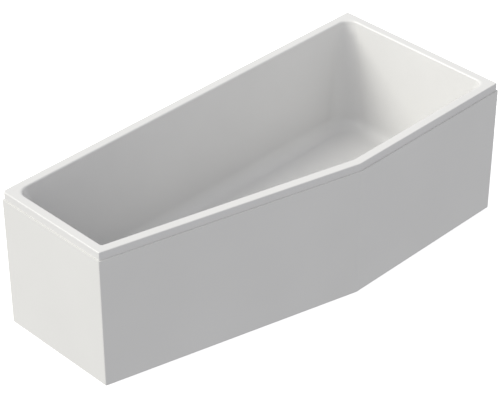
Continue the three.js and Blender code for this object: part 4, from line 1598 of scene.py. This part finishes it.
@dataclass
class BowdenCable:
    """The sleeve of the cable from the knob's drum to the plug's lever."""

    radius: float = 2.5
    sides: int = 20
    steps: int = 14
    tops: tuple[float, ...] = (41.3, 53.0, 65.0)
    inlet: Corner = (-600.0, 100.0, 93.94)
    middle: tuple[Corner, ...] = (
        (-162, 22, 196), (-150, 22, 116), (-138, 26, 56), (-116, 44, 18), (-84, 68, 3),
        (-50, 82, 0), (-20, 82, 0), (-4, 72, 0),
    )
    foot_out: tuple[float, ...] = (57.3, 45.3, 33.3)

    def build(self, shop: Workshop, overflow: Overflow) -> None:
        """Models the cable and dresses it.

        Args:
            shop: Where the pieces are finished.
            overflow: The overflow that it starts from.
        """
        stand = overflow.downward(overflow.cable_out)
        inlet = Vector(self.inlet) * MM
        points = [stand.point(0, 0, top * MM) for top in self.tops]
        points += [inlet + Vector(spot) * MM for spot in self.middle]
        points += [inlet + Vector((0, out * MM, 0)) for out in self.foot_out]
        path = flowing(points, self.steps)
        piece = drawn_through("bowden_cable_sleeve", rings_along(path, [self.radius] * len(path), self.sides))
        shop.stand_for(piece, "bowden_cable")


@dataclass
class Feet:
    """The five screw feet: a moulded pad, a threaded rod and a hexagonal nut each."""

    count: int = 5
    pad: Turning = Turning(
        (
            (0.0, 0.0, 0.0), (22.0, 0.0, 1.0), (22.0, 5.0, 1.6), (11.0, 9.0, 3.0),
            (11.0, 20.0, 1.2), (5.3, 20.0, 0.4), (5.3, 6.0, 0.0), (0.0, 6.0, 0.0),
        )
    )
    rib_pairs: int = 4
    rib_low: Corner = (-19.5, -0.9, 3.0)
    rib_high: Corner = (19.5, 0.9, 13.0)
    rib_slope_from: float = 10.0
    rib_top_share: float = 0.6
    rib_bore: Turning = bar(8.0, 1.0, 30.0, sides=24)
    rod_radius: float = 5.0
    pitch: float = 1.5
    thread_depth: float = 0.9
    thread_steps: int = 24
    spare_turns: int = 3
    crest_from: float = 0.42
    crest_to: float = 0.58
    point_radius: float = 3.4
    nut_height: float = 8.0
    nut_flats: float = 17.0
    nut_chamfer: float = 0.8
    nut_bore: float = 5.3
    nut_inset: float = 0.2
    cutter_past: float = 1.0

    def build(self, shop: Workshop) -> None:
        """Models and dresses every foot.

        Args:
            shop: Where the pieces are finished.
        """
        pads, nuts = numbered("foot_pad", self.count), numbered("foot_nut", self.count)
        shop.repeat_for(self.make_pad(seat(pads[0])[0]), pads, "_moulding")
        for rod in numbered("foot_rod", self.count):
            shop.stand_for(self.make_rod(rod), rod)
        shop.repeat_for(self.make_nut(seat(nuts[0])[0]), nuts, "_hex")

    def make_pad(self, stand: Spindle) -> Piece:
        """Turns the pad and sets ribs between its disc and its neck.

        Args:
            stand: Its upright axis, from the floor.

        Returns:
            The pad.
        """
        piece = self.pad.make("foot_pad", stand)
        for i in range(self.rib_pairs):
            rib = block("rib", stand, self.rib_low, self.rib_high)
            angle = math.pi * i / self.rib_pairs
            with editing(rib):
                bpy.ops.transform.rotate(value=angle, orient_axis="Z", center_override=stand.at)
            for vertex in rib.data.vertices:
                off = vertex.co - stand.at
                if off.z > self.rib_slope_from * MM:
                    vertex.co.xy = stand.at.xy + off.xy * self.rib_top_share
            combine(rib, Step.CUT, self.rib_bore.make("bore", stand))
            combine(piece, Step.JOIN, rib)
        return piece

    def make_rod(self, node: str) -> Piece:
        """Screws a thread up the rod and chamfers both ends; the rods have lengths of their own.

        Args:
            node: The node that the rod stands for.

        Returns:
            The rod.
        """
        low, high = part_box(node)
        axis = (low.xy + high.xy) / 2
        root = (self.rod_radius - self.thread_depth) * MM
        crest = self.rod_radius * MM
        pitch = self.pitch * MM
        tooth = [(root, 0.0), (crest, self.crest_from), (crest, self.crest_to), (root, 1.0)]
        spots = [Vector((radius, 0, rise * pitch)) for radius, rise in tooth]
        piece = drawn_line(node + "_thread", spots)
        turns = math.ceil((high.z - low.z) / pitch) + self.spare_turns
        winding = {"steps": self.thread_steps, "render_steps": self.thread_steps, "iterations": turns}
        modify(piece, "SCREW", **winding, screw_offset=pitch, use_merge_vertices=True)
        piece.location = (*axis, low.z - pitch * self.spare_turns / 2)
        bpy.ops.object.transform_apply(location=True, rotation=False, scale=False)
        merge_and_close(piece)
        with editing(piece):
            for height, way in ((low.z, -1), (high.z, 1)):
                cut = {"plane_co": (*axis, height), "plane_no": (0, 0, way)}
                bpy.ops.mesh.bisect(**cut, use_fill=True, clear_outer=True)
                bpy.ops.mesh.select_all(action="SELECT")
        for vertex in piece.data.vertices:
            off = vertex.co.xy - axis
            most = self.point_radius * MM + min(vertex.co.z - low.z, high.z - vertex.co.z)
            if off.length > most:
                vertex.co.xy = axis + off * most / off.length
        merge_and_close(piece)
        return piece

    def make_nut(self, stand: Spindle) -> Piece:
        """Turns a six-sided blank, rounds its corners off with a cone and bores it.

        Args:
            stand: Its upright axis, from the nut's underside.

        Returns:
            The nut.
        """
        corner = self.nut_flats / 2 / math.cos(math.pi / 6)
        flat = self.nut_flats / 2 - self.nut_inset
        top, edge, past = self.nut_height, self.nut_chamfer, self.cutter_past
        cone = [(0, -past / 2, 0), (flat, 0, 0), (corner, edge, 0)]
        cone += [(corner, top - edge, 0), (flat, top, 0), (0, top + past / 2, 0)]
        sink = self.nut_bore + edge + past
        way = [(0, -past, 0), (sink, -past, 0), (self.nut_bore, edge, 0)]
        way += [(self.nut_bore, top - edge, 0), (sink, top + past, 0), (0, top + past, 0)]
        piece = bar(corner, 0, top, sides=6).make("foot_nut", stand)
        combine(piece, Step.SHARE, Turning(cone).make("cone", stand))
        return combine(piece, Step.CUT, Turning(way, sides=48).make("bore", stand))


@dataclass
class WoodScrew:
    """A wood screw that is driven upwards, with a pan head, a cross recess and ridges for its thread."""

    head: tuple[ProfilePoint, ...] = ((0.0, 0.0, 0.0), (2.6, 0.0, 1.2), (4.6, 1.3, 0.6), (4.6, 2.4, 0.2))
    shank: float = 2.1
    head_height: float = 2.4
    thread_from: float = 3.0
    thread_depth: float = 0.55
    pitch: float = 1.3
    tip: float = 2.4
    recess: Cross = Cross(2.2, 0.45, -1.0, 1.3)

    def build(self, shop: Workshop, nodes: list[str]) -> None:
        """Models the screw that stands for some nodes that are alike, and dresses one for each.

        Args:
            shop: Where the pieces are finished.
            nodes: The nodes that the screws stand for.
        """
        stand, length = seat(nodes[0])
        thread = ridges(self.shank, self.thread_depth, self.thread_from, length - self.tip, self.pitch)
        neck = [(self.shank, self.head_height, 0), (self.shank, self.thread_from, 0)]
        piece = Turning([*self.head, *neck, *thread, (0, length, 0)], sides=32).make("wood_screw", stand)
        shop.repeat_for(combine(piece, Step.CUT, *self.recess.make(stand)), nodes, "_turned")


@dataclass
class LegRails:
    """The two pressed steel rails, folded down along both sides, and their screws."""

    names: tuple[str, ...] = ("narrow", "wide")
    outline: tuple[ProfilePoint, ...] = (
        (-20.0, -25.0, 0.5), (-20.0, 0.0, 4.0), (20.0, 0.0, 4.0), (20.0, -25.0, 0.5),
        (17.5, -25.0, 0.5), (17.5, -2.5, 1.5), (-17.5, -2.5, 1.5), (-17.5, -25.0, 0.5),
    )
    fold_steps: int = 8
    rod_hole: float = 5.3
    feet: int = 5
    screw_hole: float = 2.4
    hole_depth: float = 20.0
    screws: int = 4

    def build(self, shop: Workshop) -> None:
        """Models and dresses both rails and the screws.

        Args:
            shop: Where the pieces are finished.
        """
        for name in self.names:
            shop.stand_for(self.make_rail(name), f"leg_rail_{name}")
        WoodScrew().build(shop, numbered("rail_screw", self.screws))

    def make_rail(self, name: str) -> Piece:
        """Extrudes the folded profile and drills it for the rods and the screws.

        Args:
            name: The end of the bath that the rail is at.

        Returns:
            The rail.
        """
        low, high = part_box(f"leg_rail_{name}")
        middle = (low.x + high.x) / 2
        stand = Spindle(Vector((middle, 0, high.z)), Vector((0, 1, 0)))
        profile = soft_profile(self.outline, True, self.fold_steps)
        piece = extruded(f"leg_rail_{name}_channel", stand, profile, low.y / MM, high.y / MM)
        holes = (("foot_pad", self.rod_hole, self.feet), ("rail_screw", self.screw_hole, self.screws))
        for kind, radius, count in holes:
            for node in numbered(kind, count):
                spot = seat(node)[0].at
                if abs(spot.x - middle) < MM:
                    at = Vector((spot.x, spot.y, high.z))
                    bore(piece, radius * MM, self.hole_depth * MM, at, Vector((0, 0, 1)))
        return piece


@dataclass
class CentrePlate:
    """The plate under the baseboard that carries the fifth foot, with its welded boss."""

    half: float = 45.0
    sheet: float = 3.0
    corner: float = 10.0
    corner_steps: int = 8
    boss: float = 11.0
    boss_edge: float = 0.8
    bore: float = 5.3
    bore_past: float = 1.0
    weld: float = 2.2
    weld_hollow: float = 1.0

    def build(self, shop: Workshop) -> None:
        """Models the plate and dresses it.

        Args:
            shop: Where the pieces are finished.
        """
        seated, height = seat("centre_foot_plate")
        stand = Spindle(seated.point(0, 0, height * MM))
        sheet = self.sheet
        ways = ((-1, -1), (1, -1), (1, 1), (-1, 1))
        square = [(x * self.half, y * self.half, self.corner) for x, y in ways]
        profile = soft_profile(square, True, self.corner_steps)
        piece = extruded("centre_foot_plate_welded", stand, profile, -sheet, 0)
        boss = [
            (0, -height, 0),
            (self.boss, -height, self.boss_edge),
            (self.boss, -sheet - self.weld, self.weld_hollow),
            (self.boss + self.weld, -sheet, 0),
            (self.boss + self.weld, -sheet / 2, 0),
            (0, -sheet / 2, 0),
        ]
        combine(piece, Step.JOIN, Turning(boss).make("boss", stand))
        hole = bar(self.bore, -height - self.bore_past, -sheet, sides=48)
        combine(piece, Step.CUT, hole.make("hole", stand))
        shop.stand_for(piece, "centre_foot_plate")


@dataclass
class SoftenedPieces:
    """Panels, boards and pressings whose solids are right, with their edges broken."""

    panels: tuple[str, ...] = ("front_panel", "end_panel_narrow", "end_panel_wide")
    panel_edge: float = 0.0012
    clips: int = 6
    clip_edge: float = 0.0005
    brackets: int = 2
    bracket_edge: float = 0.0004
    board_edge: float = 0.0010
    battens: tuple[str, ...] = ("slant", "front", "wide", "back", "narrow")
    batten_edge: float = 0.0012

    def build(self, shop: Workshop, plan: Plan) -> None:
        """Models and dresses the panels, clips, brackets, baseboard and battens.

        Args:
            shop: Where the pieces are finished.
            plan: The rim's outline, which the battens follow.
        """
        for name in self.panels:
            shop.stand_for(softened_copy(name, name + "_sheet", self.panel_edge, 3), name)
        for name in numbered("panel_clip", self.clips):
            shop.stand_for(softened_copy(name, name + "_moulding", self.clip_edge), name)
        for name in numbered("wall_bracket", self.brackets):
            shop.stand_for(softened_copy(name, name + "_pressing", self.bracket_edge), name)
        WoodScrew().build(shop, numbered("bracket_screw", self.brackets))
        shop.stand_for(softened_copy("baseboard", "baseboard_sawn", self.board_edge), "baseboard")
        for side, (start, end) in zip(self.battens, plan.sides):
            run = end - start
            turn = -math.atan2(run.y, run.x)
            wood = SawnSoftwood("Sawn softwood", "#D8B983", "#B98B52", 0.78, turn=turn).build()
            name = "rim_batten_" + side
            shop.stand_for(softened_copy(name, name + "_sawn", self.batten_edge), name, wood)


@dataclass
class Studio:
    """Floor, light and camera."""

    camera_place: Corner = (-3.682, -3.628, 3.912)
    camera_aim: Corner = (0.5778, 0.5770, -0.5772)
    camera_reach: float = 100.0
    lens: float = 136.0
    sensor: float = 36.0
    floor_side: float = 60.0
    floor_height: float = -0.0002
    floor_colour: str = "#FAFAFA"
    floor_roughness: float = 0.9
    floor_glow: float = 0.5
    key_from: Corner = (-0.67, 0.418, 0.616)
    key_strength: float = 2.6
    key_angle: float = 35.0
    key_colour: str = "#FFFDF4"
    sky_colour: str = "#FDFDFF"
    sky: float = 0.78
    ground: float = 0.57
    horizon: float = 0.1

    def build(self) -> None:
        """Sets up the studio."""
        self.add_camera()
        self.add_floor()
        self.add_light()

    def add_camera(self) -> None:
        """Adds the camera at the photograph's angle."""
        bpy.ops.object.camera_add(location=self.camera_place)
        camera = bpy.context.object
        camera.rotation_euler = Vector(self.camera_aim).to_track_quat("-Z", "Y").to_euler()
        camera.data.lens = self.lens
        camera.data.sensor_width = self.sensor
        camera.data.clip_end = self.camera_reach
        bpy.context.scene.camera = camera

    def add_floor(self) -> None:
        """Adds the pale floor; it throws no light back, so that the sides keep their depth."""
        place = {"size": self.floor_side, "location": (0, 0, self.floor_height)}
        floor = primitive("studio_floor", bpy.ops.mesh.primitive_plane_add, **place)
        material = bpy.data.materials.new("Studio floor")
        material.use_nodes = True
        paint = {"Base Color": linear(self.floor_colour), "Roughness": self.floor_roughness}
        glow = {"Emission Color": (1.0, 1.0, 1.0, 1.0), "Emission Strength": self.floor_glow}
        fill_inputs(material.node_tree.nodes["Principled BSDF"], paint | glow)
        dress(floor, material)
        floor.visible_diffuse = False
        floor.visible_glossy = False
        floor.visible_shadow = False

    def add_light(self) -> None:
        """Adds the soft key from behind on the left and the even light of the room, darker from below."""
        bpy.ops.object.light_add(type="SUN")
        key = bpy.context.object
        key.rotation_euler = Vector(self.key_from).to_track_quat("Z", "Y").to_euler()
        key.data.energy = self.key_strength
        key.data.angle = math.radians(self.key_angle)
        key.data.color = linear(self.key_colour)[:3]
        world = bpy.data.worlds.new("Studio")
        world.use_nodes = True
        tree = world.node_tree
        direction = add_node(tree, "TexCoord", "Generated", {})
        upwards = add_node(tree, "SeparateXYZ", "Z", {"Vector": direction})
        graded = spread(upwards, self.ground, self.sky, -self.horizon, self.horizon)
        strength = add_node(tree, "MapRange", "Result", graded)
        fill_inputs(tree.nodes["Background"], {"Color": linear(self.sky_colour), "Strength": strength})
        bpy.context.scene.world = world
        bpy.context.scene.view_settings.view_transform = "Standard"


def main() -> None:
    """Builds the bathtub's looks around the frame."""
    logging.basicConfig(level=logging.INFO, format="%(message)s")
    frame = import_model()
    Studio().build()
    shop = Workshop(frame)
    plan = Plan()
    overflow = Overflow()
    BathShell(plan).build(shop)
    for assembly in (Waste(), Trap(), overflow):
        assembly.build(shop)
    for line in (OverflowPipe(), BowdenCable()):
        line.build(shop, overflow)
    for assembly in (Feet(), LegRails(), CentrePlate()):
        assembly.build(shop)
    SoftenedPieces().build(shop, plan)


if __name__ == "__main__":
    main()
